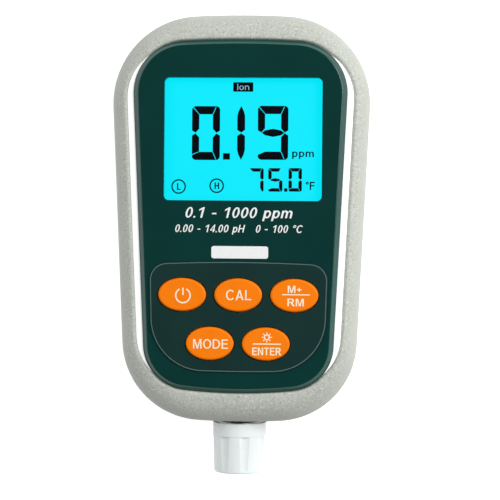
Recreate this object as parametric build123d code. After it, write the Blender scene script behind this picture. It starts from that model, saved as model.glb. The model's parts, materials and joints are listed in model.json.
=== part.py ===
from build123d import *
import math
import os

# A portable ion meter, lying on its back.
# +X is to the right as the face is read, +Y towards the display end, +Z out of the face.
# Lengths are in millimetres and angles in degrees. The back rests at height 0.
# The case is drawn about its own middle. The last function moves every piece along Y,
# so that the origin is under the middle of the whole meter, socket collar included.

# Case outline
SIDE_TAPER = 2.565
TOP_CORNER = 23.0
BOTTOM_CORNER = 21.3
TOP_END_RADIUS = 240.0
BOTTOM_END_RADIUS = 200.0

# Case section
WALL = 2.2
DRAFT = 1.5
FRONT_ROUND = 7.0
BACK_ROUND = 6.5
PARTING_HEIGHT = 15.0
DECK_THICKNESS = 1.9
RECESS_DEPTH = 1.9
INNER_EDGE_ROUND = 0.6

# Joint between the two shells
TONGUE_LENGTH = 1.6
TONGUE_THICKNESS = 0.9
SEAL_HEIGHT = 0.8

# Face panel and the bright frame that shows at its sides
RING_SIDE = 4.6
TRIM_SHOWN = 1.7
PANEL_TOP_MARGIN = 7.4
PANEL_BOTTOM_MARGIN = 8.2
PANEL_TOP_CORNER = 13.4
PANEL_BOTTOM_CORNER = 11.8
PANEL_TOP_END_RADIUS = 270.0
PANEL_BOTTOM_END_RADIUS = 130.0
PANEL_RISE = 1.0
PANEL_BEVEL_WIDTH = 1.3
PANEL_EDGE_HEIGHT = 0.25
PANEL_EDGE_ROUND = 0.5
ADHESIVE = 0.3
TRIM_TUCK_TOP = 1.15
TRIM_TUCK_BOTTOM = 0.85
TRIM_CORNER = 13.3
TRIM_THICKNESS = 1.1
TRIM_BAND = 3.0
TRIM_ROUND = 0.4

# Display
WINDOW_WIDTH = 40.6
WINDOW_HEIGHT = 31.6
WINDOW_CORNER = 1.3
WINDOW_OFFSET = 0.86
WINDOW_DROP = 9.95
WINDOW_SIDE = 5.85
WINDOW_TO_KEYPAD = 15.5
LENS_FLANGE = 2.0
LENS_FLANGE_THICKNESS = 0.8
GLASS_MARGIN = 2.2
GLASS_LEDGE = 1.6
GLASS_THICKNESS = 1.3
STRIP_WIDTH = 1.3
FRAME_WALL = 1.2

# Keypad
OVERLAY_SIDE = 3.05
OVERLAY_TAPER = 1.4
OVERLAY_RISE = 5.35
OVERLAY_TOP_CORNER = 4.6
OVERLAY_BOTTOM_CORNER = 14.0
OVERLAY_END_RADIUS = 400.0
OVERLAY_THICKNESS = 0.9
OVERLAY_PROUD = 0.35
KEY_LENGTH = 12.3
KEY_BREADTH = 8.5
KEY_GAP = 0.25
KEY_PROUD = 0.55
KEY_ROUND = 0.6
KEY_FLANGE = 0.6
KEY_FLANGE_THICKNESS = 0.7
KEY_TRAVEL = 0.5
KEY_SIDE_GAP = 2.1
KEY_ROW_GAP = 4.0
KEY_MARGIN_SIDE = 2.55
KEY_MARGIN_TOP = 4.45
KEY_MARGIN_BOTTOM = 3.25
KEY_COVER = 1.0
STEM_RADIUS = 2.0
SWITCH_SIDE = 6.0
SWITCH_HEIGHT = 3.5
PLUNGER_RADIUS = 1.6
PLUNGER_PROUD = 0.9
KEYPAD_SEAL_THICKNESS = 0.8

# Boards
BOARD_THICKNESS = 1.6
BOARD_ROOM = 6.0
BOARD_MARGIN = 2.0
CHIP_ROOM = 1.8
CHIP_HEIGHT = 1.3
PROCESSOR_WIDTH = 10.0
DRIVER_WIDTH = 7.4
DRIVER_LENGTH = 10.2
AMPLIFIER_WIDTH = 5.0
AMPLIFIER_LENGTH = 6.2
BOARD_POST_RADIUS = 2.6
BOARD_POST_INSET = 6.2
BOARD_SCREW_RADIUS = 1.0
BUZZER_RADIUS = 5.0
BUZZER_HEIGHT = 5.5
SHIELD_LENGTH = 22.0
SHIELD_BREADTH = 8.0
SHIELD_HEIGHT = 3.2

# Battery bay: three slim round cells side by side
CELL_RADIUS = 5.25
CELL_LENGTH = 44.5
CELL_COUNT = 3
CELL_SPACE = 0.7
CELL_LIFT = 0.8
CELL_BUTTON_RADIUS = 1.9
CELL_BUTTON_HEIGHT = 0.8
CONTACT_ROOM = 2.6
CONTACT_THICKNESS = 0.4
BAY_WALL = 1.5
BAY_ROOF = 1.2
BAY_CENTRE = 3.0
DOOR_THICKNESS = 2.0
DOOR_SUNK = 0.1
DOOR_LEDGE = 3.0
DOOR_CORNER = 4.0
DOOR_GAP = 0.2
DOOR_TAB_LENGTH = 6.5
DOOR_TAB_WIDTH = 11.0
DOOR_SEAL_WIDTH = 1.3
DOOR_SEAL_HEIGHT = 0.9
DOOR_SCREW_RADIUS = 1.25
DOOR_SCREW_HEAD = 2.4
DOOR_SCREW_SLOT = 0.8
DOOR_SCREW_LENGTH = 6.4

# Case screws and the brass inserts they turn into
SCREW_RADIUS = 1.25
SCREW_HEAD = 2.5
SCREW_HEAD_HEIGHT = 1.8
SCREW_SUNK = 1.8
SCREW_LENGTH = 16.5
SCREW_WALL = 1.2
SCREW_ROOM = 0.4
INSERT_WALL = 0.7
INSERT_LENGTH = 5.0
SCREW_TOP_X = 17.0
SCREW_BOTTOM_X = 17.5
SCREW_BOTTOM_RISE = 14.9

# Probe socket, on the lower end, with its axis at the parting height
COLLAR_LENGTH = 13.7
COLLAR_RADIUS = 7.1
COLLAR_WALL = 1.2
COLLAR_BAND = 3.5
COLLAR_STEP = 0.15
COLLAR_END_TAPER = 0.25
COLLAR_RIM = 0.9
COLLAR_STANDOFF = 0.5
COLLAR_FLANGE = 1.6
COLLAR_ROUND = 0.45
FLUTE_COUNT = 8
FLUTE_DEPTH = 0.45
FLUTE_RADIUS = 3.0
FLUTE_TURN = 31.5
SOCKET_BORE = 4.25
SOCKET_WALL = 0.95
SOCKET_STEP = 0.4
SOCKET_DEPTH = 7.5
SOCKET_RECESS_DEPTH = 2.0
SOCKET_TAIL = 9.0
SOCKET_FLANGE = 1.2
SOCKET_FLANGE_RADIUS = 6.2
SOCKET_KEYWAY = 1.4
GASKET_THICKNESS = 0.6
SEAT_DEPTH = 0.4
NUT_FLATS = 14.0
NUT_THICKNESS = 2.4
WASHER_THICKNESS = 0.6
RING_THICKNESS = 0.8
RING_GROOVE = 0.4
CONTACT_RADIUS = 0.75
CONTACT_CIRCLE = 2.55
CONTACT_COUNT = 6
LEAD_RADIUS = 0.45

# Clearances
FIT = 0.05
SLIP = 0.1
SEAT_GAP = 0.15

# Keypad and case, worked out from the keys and the display window
key_pitch = KEY_LENGTH + KEY_SIDE_GAP
key_row_pitch = KEY_BREADTH + KEY_ROW_GAP
overlay_top_width = 2 * key_pitch + KEY_LENGTH + 2 * KEY_MARGIN_SIDE
overlay_bottom_width = overlay_top_width - OVERLAY_TAPER
overlay_length = key_row_pitch + KEY_BREADTH + KEY_MARGIN_TOP + KEY_MARGIN_BOTTOM
face_width = max(WINDOW_WIDTH + 2 * WINDOW_SIDE, overlay_top_width + 2 * OVERLAY_SIDE)
face_length = WINDOW_DROP + WINDOW_HEIGHT + WINDOW_TO_KEYPAD + overlay_length + OVERLAY_RISE
body_width = face_width + 2 * (RING_SIDE + TRIM_SHOWN)
body_length = face_length + PANEL_TOP_MARGIN + PANEL_BOTTOM_MARGIN

# Heights, worked out from the back to the face
door_inner = DOOR_SUNK + DOOR_THICKNESS
ledge_height = door_inner + FIT
cell_height = door_inner + CELL_LIFT + CELL_RADIUS
bay_roof_bottom = cell_height + CELL_RADIUS + 2 * SLIP
bay_roof_top = bay_roof_bottom + BAY_ROOF
board_bottom = bay_roof_top + CHIP_ROOM
board_top = board_bottom + BOARD_THICKNESS
deck_bottom = board_top + BOARD_ROOM
deck_top = deck_bottom + DECK_THICKNESS
case_height = deck_top + RECESS_DEPTH
panel_bottom = deck_top + ADHESIVE
panel_top = case_height + PANEL_RISE
trim_top = deck_top + TRIM_THICKNESS
lip_bottom = trim_top + SLIP
overlay_top = panel_top + OVERLAY_PROUD
overlay_bottom = overlay_top - OVERLAY_THICKNESS
key_top = overlay_top + KEY_PROUD
key_cover_bottom = overlay_bottom - KEY_COVER
key_flange_top = key_cover_bottom - SLIP
key_flange_bottom = key_flange_top - KEY_FLANGE_THICKNESS
switch_top = board_top + SWITCH_HEIGHT
plunger_top = switch_top + PLUNGER_PROUD
lens_bottom = panel_bottom + SLIP
glass_top = lens_bottom - 2 * SEAT_GAP

# Places along Y
top_end = body_length / 2
bottom_end = -body_length / 2
panel_top_y = top_end - PANEL_TOP_MARGIN
panel_bottom_y = bottom_end + PANEL_BOTTOM_MARGIN
window_y = panel_top_y - WINDOW_DROP - WINDOW_HEIGHT / 2
overlay_bottom_y = panel_bottom_y + OVERLAY_RISE
overlay_top_y = overlay_bottom_y + overlay_length
lower_row_y = overlay_bottom_y + KEY_MARGIN_BOTTOM + KEY_BREADTH / 2
upper_row_y = lower_row_y + key_row_pitch
board_top_y = top_end - WALL - 3 * BOARD_MARGIN
board_bottom_y = lower_row_y - SWITCH_SIDE

# Key names and where each stands
KEYS = {
    "power": (-key_pitch, upper_row_y),
    "calibrate": (0, upper_row_y),
    "memory": (key_pitch, upper_row_y),
    "mode": (-key_pitch / 2, lower_row_y),
    "enter": (key_pitch / 2, lower_row_y),
}

# Case screws: the upper pair stands just above the display stack
insert_hole = SCREW_RADIUS + FIT + INSERT_WALL + FIT
case_post = insert_hole + SCREW_WALL
display_stack_top = window_y + WINDOW_HEIGHT / 2 + GLASS_MARGIN + FRAME_WALL
screw_top_y = display_stack_top + case_post + SCREW_ROOM
case_screws = [
    (side * x, y)
    for side in (-1, 1)
    for x, y in ((SCREW_TOP_X, screw_top_y), (SCREW_BOTTOM_X, bottom_end + SCREW_BOTTOM_RISE))
]


def half_width(y):
    """Half the width of the tapering case at a place along its length."""
    return body_width / 2 + y * math.tan(math.radians(SIDE_TAPER))


board_posts = [
    (side * (half_width(y) - BOARD_POST_INSET), y)
    for side in (-1, 1)
    for y in (window_y + WINDOW_HEIGHT / 4, (upper_row_y + lower_row_y) / 2)
]

# Battery bay and door
bay_width = CELL_COUNT * 2 * CELL_RADIUS + (CELL_COUNT + 1) * CELL_SPACE
bay_length = CELL_LENGTH + CELL_BUTTON_HEIGHT + 2 * CONTACT_ROOM
door_width = bay_width + 2 * DOOR_LEDGE
door_length = bay_length + 2 * DOOR_LEDGE
door_screws = {
    "upper": BAY_CENTRE + door_length / 2 + DOOR_TAB_LENGTH / 2,
    "lower": BAY_CENTRE - door_length / 2 - DOOR_TAB_LENGTH / 2,
}


def cell_places():
    """Middle of each battery cell across the case."""
    pitch = 2 * CELL_RADIUS + CELL_SPACE
    return [(index - (CELL_COUNT - 1) / 2) * pitch for index in range(CELL_COUNT)]


# Outlines

def end_crown(half, radius):
    """How far a gently crowned end stands out beyond its corners."""
    return radius - math.sqrt(radius**2 - half**2)


def tapered_shape(top_y, bottom_y, top_half, bottom_half, corners, end_radii):
    """Flat outline with straight tapering sides, round corners and crowned ends."""
    top_corner_y = top_y - end_crown(top_half, end_radii[0])
    bottom_corner_y = bottom_y + end_crown(bottom_half, end_radii[1])
    top_left = (-top_half, top_corner_y)
    top_right = (top_half, top_corner_y)
    bottom_right = (bottom_half, bottom_corner_y)
    bottom_left = (-bottom_half, bottom_corner_y)
    border = Curve() + [
        ThreePointArc(top_right, (0, top_y), top_left),
        Line(top_left, bottom_left),
        ThreePointArc(bottom_left, (0, bottom_y), bottom_right),
        Line(bottom_right, top_right),
    ]
    shape = make_face(border)
    shape = fillet(shape.vertices().sort_by(Axis.Y)[:2], corners[1])
    return fillet(shape.vertices().sort_by(Axis.Y)[-2:], corners[0])


def case_shape():
    """Outline of the case at the parting height, where it is widest."""
    return tapered_shape(
        top_end, bottom_end, half_width(top_end), half_width(bottom_end),
        (TOP_CORNER, BOTTOM_CORNER), (TOP_END_RADIUS, BOTTOM_END_RADIUS),
    )


def panel_shape():
    """Outline of the face panel."""
    side = RING_SIDE + TRIM_SHOWN
    return tapered_shape(
        panel_top_y, panel_bottom_y, half_width(panel_top_y) - side, half_width(panel_bottom_y) - side,
        (PANEL_TOP_CORNER, PANEL_BOTTOM_CORNER), (PANEL_TOP_END_RADIUS, PANEL_BOTTOM_END_RADIUS),
    )


def trim_shape():
    """Outline of the bright frame, wider than the panel at its sides and shorter at its ends."""
    top_y = panel_top_y - TRIM_TUCK_TOP
    bottom_y = panel_bottom_y + TRIM_TUCK_BOTTOM
    return tapered_shape(
        top_y, bottom_y, half_width(top_y) - RING_SIDE, half_width(bottom_y) - RING_SIDE,
        (TRIM_CORNER, TRIM_CORNER), (PANEL_TOP_END_RADIUS, PANEL_BOTTOM_END_RADIUS),
    )


def overlay_shape():
    """Outline of the raised plate around the keys."""
    return tapered_shape(
        overlay_top_y, overlay_bottom_y, overlay_top_width / 2, overlay_bottom_width / 2,
        (OVERLAY_TOP_CORNER, OVERLAY_BOTTOM_CORNER), (OVERLAY_END_RADIUS, OVERLAY_END_RADIUS),
    )


def window_shape(grow=0.0):
    """Outline of the display window, grown all round."""
    outline = RectangleRounded(WINDOW_WIDTH + 2 * grow, WINDOW_HEIGHT + 2 * grow, WINDOW_CORNER)
    return Pos(WINDOW_OFFSET, window_y) * outline


def glass_shape(grow=0.0):
    """Outline of the display glass, grown all round."""
    width = WINDOW_WIDTH + 2 * (GLASS_MARGIN + grow)
    height = WINDOW_HEIGHT + 2 * (GLASS_MARGIN + grow)
    return Pos(WINDOW_OFFSET, window_y) * Rectangle(width, height)


def key_ovals(grow):
    """All five key outlines, grown all round."""
    oval = Ellipse(KEY_LENGTH / 2 + grow, KEY_BREADTH / 2 + grow)
    return Sketch() + [Pos(x, y) * oval for x, y in KEYS.values()]


def key_rounds(radius):
    """Five circles, one under each key."""
    return Sketch() + [Pos(x, y) * Circle(radius) for x, y in KEYS.values()]


def door_shape(grow=0.0):
    """Outline of the battery door: a rounded rectangle with a screw tab at each end."""
    plate = RectangleRounded(door_width, door_length, DOOR_CORNER)
    tab_span = door_length + 2 * DOOR_TAB_LENGTH
    tabs = RectangleRounded(DOOR_TAB_WIDTH, tab_span, DOOR_CORNER)
    outline = Pos(0, BAY_CENTRE) * (plate + tabs)
    return offset(outline, grow) if grow else outline


def prism(shape, low, high):
    """A straight solid on a flat outline, between two heights."""
    return extrude(Pos(0, 0, low) * shape, amount=high - low)


def posts(places, radius, low, high):
    """Round posts at several places, between two heights."""
    return Part() + [Pos(x, y, low) * Cylinder(radius, high - low, align=BASE) for x, y in places]


BASE = (Align.CENTER, Align.CENTER, Align.MIN)


def along_socket(reach):
    """Place on the socket's axis, a distance out from the lower end, with Z pointing outwards."""
    return Pos(0, bottom_end - reach, PARTING_HEIGHT) * Rot(90, 0, 0)


def socket_round(radius, start, stop):
    """A disc on the socket's axis, between two distances out from the lower end."""
    return along_socket(start) * Cylinder(radius, stop - start, align=BASE)


# Case

def front_block():
    """Outer form of the front shell, drafted and rounded, with no cavity."""
    block = extrude(Pos(0, 0, PARTING_HEIGHT) * case_shape(), case_height - PARTING_HEIGHT, taper=DRAFT)
    return fillet(block.edges().group_by(Axis.Z)[-1], FRONT_ROUND)


def back_block():
    """Outer form of the back shell, drafted and rounded, with no cavity."""
    block = extrude(case_shape(), PARTING_HEIGHT, taper=DRAFT)
    block = fillet(block.edges().group_by(Axis.Z)[-1], BACK_ROUND)
    return Pos(0, 0, PARTING_HEIGHT) * mirror(block, about=Plane.XY)


def front_cavity():
    """Room inside the front shell."""
    shape = offset(case_shape(), -WALL)
    room = extrude(Pos(0, 0, PARTING_HEIGHT) * shape, deck_bottom - PARTING_HEIGHT, taper=DRAFT)
    return fillet(room.edges().group_by(Axis.Z)[-1], FRONT_ROUND - WALL)


def back_cavity():
    """Room inside the back shell."""
    room = extrude(offset(case_shape(), -WALL), PARTING_HEIGHT - WALL, taper=DRAFT)
    room = fillet(room.edges().group_by(Axis.Z)[-1], BACK_ROUND - WALL)
    return Pos(0, 0, PARTING_HEIGHT) * mirror(room, about=Plane.XY)


def tongue(grow, low):
    """Ring that stands down from the front shell, inside the wall of the back shell."""
    outer = offset(case_shape(), TONGUE_THICKNESS - WALL + grow)
    inner = offset(case_shape(), -WALL)
    return prism(outer - inner, low, PARTING_HEIGHT)


def socket_seat():
    """Flat seat and through hole for the socket, cut in the lower end of the case."""
    seat = socket_round(COLLAR_RADIUS + COLLAR_STANDOFF, -SEAT_DEPTH, COLLAR_LENGTH)
    hole = socket_round(SOCKET_BORE + SOCKET_WALL + SLIP, -SOCKET_TAIL, 0)
    return seat + hole


def socket_boss():
    """Flat inner pad that the socket's nut pulls against."""
    radius = NUT_FLATS / 2 + 2 * SCREW_WALL
    return socket_round(radius, -SEAT_DEPTH - WALL, -WALL / 2)


def socket_room():
    """Room inside the case for the socket's nut and washer."""
    return socket_round(nut_corner + 3 * SLIP, -SOCKET_TAIL, -SEAT_DEPTH - WALL)


def is_recess_rim(edge, opening):
    """True for an edge along the top of the recess that takes the face panel."""
    middle = edge.position_at(0.5)
    flat = Vertex(middle.X, middle.Y, 0)
    return middle.Z > trim_top and opening.faces()[0].outer_wire().distance_to(flat) < FIT / 5


def make_front_housing():
    shell = front_block() - front_cavity()
    shell += socket_boss() & front_block()
    shell += tongue(0, PARTING_HEIGHT - TONGUE_LENGTH)
    opening = offset(panel_shape(), SEAT_GAP) + offset(trim_shape(), SLIP)
    shell -= prism(opening, deck_top, panel_top)
    shell = fillet(shell.edges().filter_by(lambda edge: is_recess_rim(edge, opening)), INNER_EDGE_ROUND)
    shell += posts(board_posts, BOARD_POST_RADIUS, board_top, deck_bottom)
    shell += posts(case_screws, case_post, PARTING_HEIGHT, deck_bottom)
    shell -= prism(glass_shape(FRAME_WALL + SLIP), PARTING_HEIGHT, panel_top)
    shell -= prism(key_rounds(STEM_RADIUS + 3 * SLIP), deck_bottom - SLIP, panel_top)
    shell -= posts(board_posts, BOARD_SCREW_RADIUS + FIT, board_top - SLIP, deck_bottom - SLIP)
    shell -= posts(case_screws, insert_hole, PARTING_HEIGHT - SLIP, PARTING_HEIGHT + INSERT_LENGTH + SLIP)
    shell -= posts(case_screws, SCREW_RADIUS + SLIP, PARTING_HEIGHT, deck_bottom - SLIP)
    return shell - socket_seat() - socket_room()


def make_rear_housing():
    shell = back_block() - back_cavity()
    shell += socket_boss() & back_block()
    bay = Pos(0, BAY_CENTRE) * Rectangle(bay_width + 2 * BAY_WALL, bay_length + 2 * BAY_WALL)
    shell += prism(bay, WALL / 2, bay_roof_top)
    shell += prism(door_shape(DOOR_GAP + WALL / 2), WALL / 2, ledge_height + WALL)
    shell += posts(case_screws, max(SCREW_HEAD + SLIP + SCREW_WALL / 2, case_post), WALL / 2, PARTING_HEIGHT)
    tabs = [(0, y) for y in door_screws.values()]
    insert_radius = DOOR_SCREW_RADIUS + FIT + INSERT_WALL + FIT
    shell += posts(tabs, insert_radius + SCREW_WALL / 2, WALL / 2, door_inner + DOOR_SCREW_LENGTH + WALL)
    shell -= prism(door_shape(DOOR_GAP), 0, ledge_height)
    room = Pos(0, BAY_CENTRE) * Rectangle(bay_width, bay_length)
    shell -= prism(room, 0, bay_roof_bottom)
    shell -= posts(tabs, insert_radius, ledge_height, ledge_height + INSERT_LENGTH)
    shell -= posts(tabs, DOOR_SCREW_RADIUS + SLIP, ledge_height, door_inner + DOOR_SCREW_LENGTH)
    shell -= posts(case_screws, SCREW_HEAD + SLIP, 0, SCREW_SUNK + SCREW_HEAD_HEIGHT)
    shell -= posts(case_screws, SCREW_RADIUS + SLIP, 0, PARTING_HEIGHT)
    shell -= tongue(SLIP, PARTING_HEIGHT - TONGUE_LENGTH - SEAL_HEIGHT)
    return shell - socket_seat() - socket_room()


def make_housing_seal():
    outer = offset(case_shape(), TONGUE_THICKNESS - WALL)
    inner = offset(case_shape(), -WALL)
    low = PARTING_HEIGHT - TONGUE_LENGTH - SEAL_HEIGHT
    return prism(outer - inner, low, low + SEAL_HEIGHT) - socket_seat()


def make_trim_frame():
    shape = trim_shape()
    frame = prism(shape, deck_top, trim_top)
    frame = fillet(frame.edges().group_by(Axis.Z)[-1], TRIM_ROUND)
    return frame - prism(offset(shape, -TRIM_BAND), deck_top, trim_top)


def panel_plug():
    """Lower step of the face panel, which stands inside the trim frame."""
    return offset(trim_shape(), -TRIM_BAND - SLIP)


def make_face_panel():
    plate = prism(panel_shape(), lip_bottom, panel_top)
    bevel = panel_top - lip_bottom - PANEL_EDGE_HEIGHT
    plate = chamfer(plate.edges().group_by(Axis.Z)[-1], bevel, PANEL_BEVEL_WIDTH)
    plate = fillet(plate.edges().group_by(Axis.Z)[-1], PANEL_EDGE_ROUND)
    plate += prism(panel_plug(), panel_bottom, lip_bottom)
    plate -= prism(window_shape(), panel_bottom, panel_top)
    plate -= prism(window_shape(LENS_FLANGE + SLIP), panel_bottom, lens_bottom + LENS_FLANGE_THICKNESS + SLIP)
    plate -= prism(overlay_shape(), overlay_bottom, panel_top)
    plate -= prism(key_ovals(KEY_GAP), panel_bottom, panel_top)
    return plate - prism(key_ovals(KEY_FLANGE + KEY_GAP), panel_bottom, key_cover_bottom)


def make_panel_adhesive():
    sheet = prism(panel_plug(), deck_top, panel_bottom)
    sheet -= prism(glass_shape(FRAME_WALL + SLIP), deck_top, panel_bottom)
    return sheet - prism(key_ovals(KEY_FLANGE + KEY_GAP), deck_top, panel_bottom)


def make_display_window():
    boss = prism(window_shape(-FIT), lens_bottom, panel_top - FIT)
    return boss + prism(window_shape(LENS_FLANGE), lens_bottom, lens_bottom + LENS_FLANGE_THICKNESS)


def make_keypad_overlay():
    plate = prism(offset(overlay_shape(), -FIT), overlay_bottom, overlay_top)
    plate = fillet(plate.edges().group_by(Axis.Z)[-1], OVERLAY_PROUD * 2 / 3)
    return plate - prism(key_ovals(KEY_GAP), overlay_bottom, overlay_top)


def make_key(x, y):
    """Oval key cap with a catch flange below the panel and a stem down to its switch."""
    cap = prism(Ellipse(KEY_LENGTH / 2, KEY_BREADTH / 2), key_flange_top, key_top)
    cap = fillet(cap.edges().group_by(Axis.Z)[-1], KEY_ROUND)
    flange = Ellipse(KEY_LENGTH / 2 + KEY_FLANGE, KEY_BREADTH / 2 + KEY_FLANGE)
    cap += prism(flange, key_flange_bottom, key_flange_top)
    cap += prism(Circle(STEM_RADIUS), plunger_top, key_flange_bottom)
    return Pos(x, y) * cap


def make_plunger(x, y):
    """Moving button of the tactile switch under one key."""
    low = switch_top - PLUNGER_RADIUS / 2
    return Pos(x, y) * prism(Circle(PLUNGER_RADIUS), low, plunger_top)


def make_key_switches():
    """Five tactile switch bodies, each open at the top for its plunger."""
    low = switch_top - PLUNGER_RADIUS / 2 - KEY_TRAVEL - SLIP
    body = prism(Rectangle(SWITCH_SIDE, SWITCH_SIDE), board_top, switch_top)
    body = chamfer(body.edges().filter_by(Axis.Z), SWITCH_SIDE / 12)
    body -= prism(Circle(PLUNGER_RADIUS + SLIP), low, switch_top)
    return [Pos(x, y) * body for x, y in KEYS.values()]


def make_keypad_seal():
    """Silicone sheet under the deck, with a close hole round each key stem."""
    low = deck_bottom - KEYPAD_SEAL_THICKNESS
    upper = RectangleRounded(2 * key_pitch + KEY_BREADTH, KEY_BREADTH, STEM_RADIUS)
    lower = RectangleRounded(key_pitch + KEY_BREADTH, key_row_pitch + KEY_BREADTH, STEM_RADIUS)
    sheet = Pos(0, upper_row_y) * upper + Pos(0, (upper_row_y + lower_row_y) / 2) * lower
    return prism(sheet - key_rounds(STEM_RADIUS + SLIP), low, deck_bottom)


# Boards and display stack

def make_main_board():
    outline = offset(case_shape(), -WALL - BOARD_MARGIN)
    span = board_top_y - board_bottom_y
    keep = Pos(0, (board_top_y + board_bottom_y) / 2) * Rectangle(2 * body_width, span)
    board = prism(outline & keep, board_bottom, board_top)
    board -= posts(case_screws, case_post + 3 * SLIP, board_bottom, board_top)
    return board - posts(board_posts, BOARD_SCREW_RADIUS + SLIP, board_bottom, board_top)


def make_board_chips():
    """Processor, amplifiers and display driver on the underside of the board."""
    side = bay_width / 3
    step = bay_length / 4
    places = [
        (0, BAY_CENTRE, PROCESSOR_WIDTH, PROCESSOR_WIDTH),
        (side, BAY_CENTRE + step, DRIVER_WIDTH, DRIVER_LENGTH),
        (-side, BAY_CENTRE + step, AMPLIFIER_WIDTH, AMPLIFIER_LENGTH),
        (0, BAY_CENTRE - step, AMPLIFIER_LENGTH, AMPLIFIER_WIDTH),
        (side, BAY_CENTRE - step, AMPLIFIER_WIDTH, AMPLIFIER_LENGTH),
    ]
    return [
        Pos(x, y, board_bottom - CHIP_HEIGHT) * Box(width, height, CHIP_HEIGHT, align=BASE)
        for x, y, width, height in places
    ]


def make_input_shield():
    """Folded metal can over the input amplifier, open towards the board."""
    middle = (window_y - WINDOW_HEIGHT / 2 - GLASS_MARGIN - FRAME_WALL + upper_row_y + SWITCH_SIDE / 2) / 2
    can = Box(SHIELD_LENGTH, SHIELD_BREADTH, SHIELD_HEIGHT, align=BASE)
    can = fillet(can.edges().filter_by(Axis.Z), CONTACT_THICKNESS * 2)
    room = Box(
        SHIELD_LENGTH - 2 * CONTACT_THICKNESS, SHIELD_BREADTH - 2 * CONTACT_THICKNESS,
        SHIELD_HEIGHT - CONTACT_THICKNESS, align=BASE,
    )
    return Pos(0, middle, board_top) * (can - room)


def make_buzzer():
    x = -2 * BUZZER_RADIUS
    y = BAY_CENTRE + bay_length / 2 + BAY_WALL + BUZZER_RADIUS + 3 * SLIP
    body = Cylinder(BUZZER_RADIUS, BUZZER_HEIGHT, align=BASE)
    body -= Cylinder(BUZZER_RADIUS / 5, BUZZER_HEIGHT / 3, align=BASE)
    return Pos(x, y, board_bottom - BUZZER_HEIGHT) * body


def make_board_screws():
    """Four small screws that hold the board up against its posts."""
    head = 2 * BOARD_SCREW_RADIUS
    screw = Pos(0, 0, board_bottom - BOARD_SCREW_RADIUS) * Cylinder(head, BOARD_SCREW_RADIUS, align=BASE)
    shank = board_top + BOARD_ROOM / 2 - board_bottom
    screw += Pos(0, 0, board_bottom) * Cylinder(BOARD_SCREW_RADIUS, shank, align=BASE)
    return [Pos(x, y) * screw for x, y in board_posts]


def make_lcd_glass():
    """Display cell: two bonded sheets, the back one with a contact ledge above and below."""
    front = prism(glass_shape(), glass_top - GLASS_THICKNESS, glass_top)
    width = WINDOW_WIDTH + 2 * GLASS_MARGIN
    height = WINDOW_HEIGHT + 2 * (GLASS_MARGIN - GLASS_LEDGE)
    back = Pos(WINDOW_OFFSET, window_y) * Rectangle(width, height)
    return front + prism(back, glass_top - 2 * GLASS_THICKNESS, glass_top - GLASS_THICKNESS)


def make_backlight_panel():
    """Light guide and tray between the board and the display cell."""
    width = WINDOW_WIDTH + 2 * GLASS_MARGIN - 2 * FRAME_WALL
    height = WINDOW_HEIGHT + 2 * (GLASS_MARGIN - GLASS_LEDGE) - SLIP
    tray = Pos(WINDOW_OFFSET, window_y) * Rectangle(width, height)
    return prism(tray, board_top, glass_top - 2 * GLASS_THICKNESS)


def make_elastomer_strips():
    """Two rubber contact strips between the ledges of the glass and the board."""
    away = WINDOW_HEIGHT / 2 + GLASS_MARGIN - GLASS_LEDGE + SLIP + STRIP_WIDTH / 2
    strip = Rectangle(WINDOW_WIDTH, STRIP_WIDTH)
    return [
        Pos(WINDOW_OFFSET, window_y + side * away) * prism(strip, board_top, glass_top - GLASS_THICKNESS)
        for side in (-1, 1)
    ]


def make_lcd_frame():
    """Moulded frame that holds the display cell square on the board."""
    ring = glass_shape(FRAME_WALL) - glass_shape(SLIP)
    return prism(ring, board_top, glass_top - GLASS_THICKNESS / 2)


# Batteries

def make_cell(x):
    """One battery cell, its raised terminal towards the display end."""
    body = Cylinder(CELL_RADIUS, CELL_LENGTH, align=BASE)
    body = fillet(body.edges(), CELL_RADIUS / 10)
    button = Cylinder(CELL_BUTTON_RADIUS, CELL_BUTTON_HEIGHT, align=BASE)
    cell = body + Pos(0, 0, CELL_LENGTH) * button
    start = BAY_CENTRE - (CELL_LENGTH + CELL_BUTTON_HEIGHT) / 2
    return Pos(x, start, cell_height) * Rot(-90, 0, 0) * cell


def contact_plate(x, y):
    """Upright metal plate on one end wall of the bay."""
    plate = Box(2 * CELL_RADIUS - 1, CONTACT_THICKNESS, 2 * CELL_RADIUS - 1)
    return Pos(x, y, cell_height) * plate


def make_plate_contacts():
    """Plates with a pressed dome that meet the raised terminals."""
    wall_y = BAY_CENTRE + bay_length / 2
    reach = CONTACT_ROOM - CONTACT_THICKNESS - SEAT_GAP
    contacts = []
    for x in cell_places():
        dome = Pos(x, wall_y - CONTACT_THICKNESS, cell_height) * Rot(90, 0, 0) * Cone(
            2 * CELL_BUTTON_RADIUS, CELL_BUTTON_RADIUS, reach, align=BASE
        )
        contacts.append(contact_plate(x, wall_y - CONTACT_THICKNESS / 2) + dome)
    return contacts


def make_spring_contacts():
    """Plates with a folded leaf that presses on the flat end of each cell."""
    wall_y = BAY_CENTRE - bay_length / 2
    foot = CELL_RADIUS / 2
    reach = CONTACT_ROOM - SEAT_GAP
    contacts = []
    for x in cell_places():
        points = [
            (wall_y + CONTACT_THICKNESS / 2, cell_height - foot),
            (wall_y + reach - CONTACT_THICKNESS / 2, cell_height),
            (wall_y + CONTACT_THICKNESS * 2, cell_height + foot),
        ]
        line = FilletPolyline(*points, radius=CONTACT_THICKNESS * 2)
        leaf = Plane.YZ * trace(line, CONTACT_THICKNESS)
        leaf = Pos(x) * extrude(leaf, CELL_RADIUS / 3, both=True)
        contacts.append(contact_plate(x, wall_y + CONTACT_THICKNESS / 2) + leaf)
    return contacts


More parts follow.
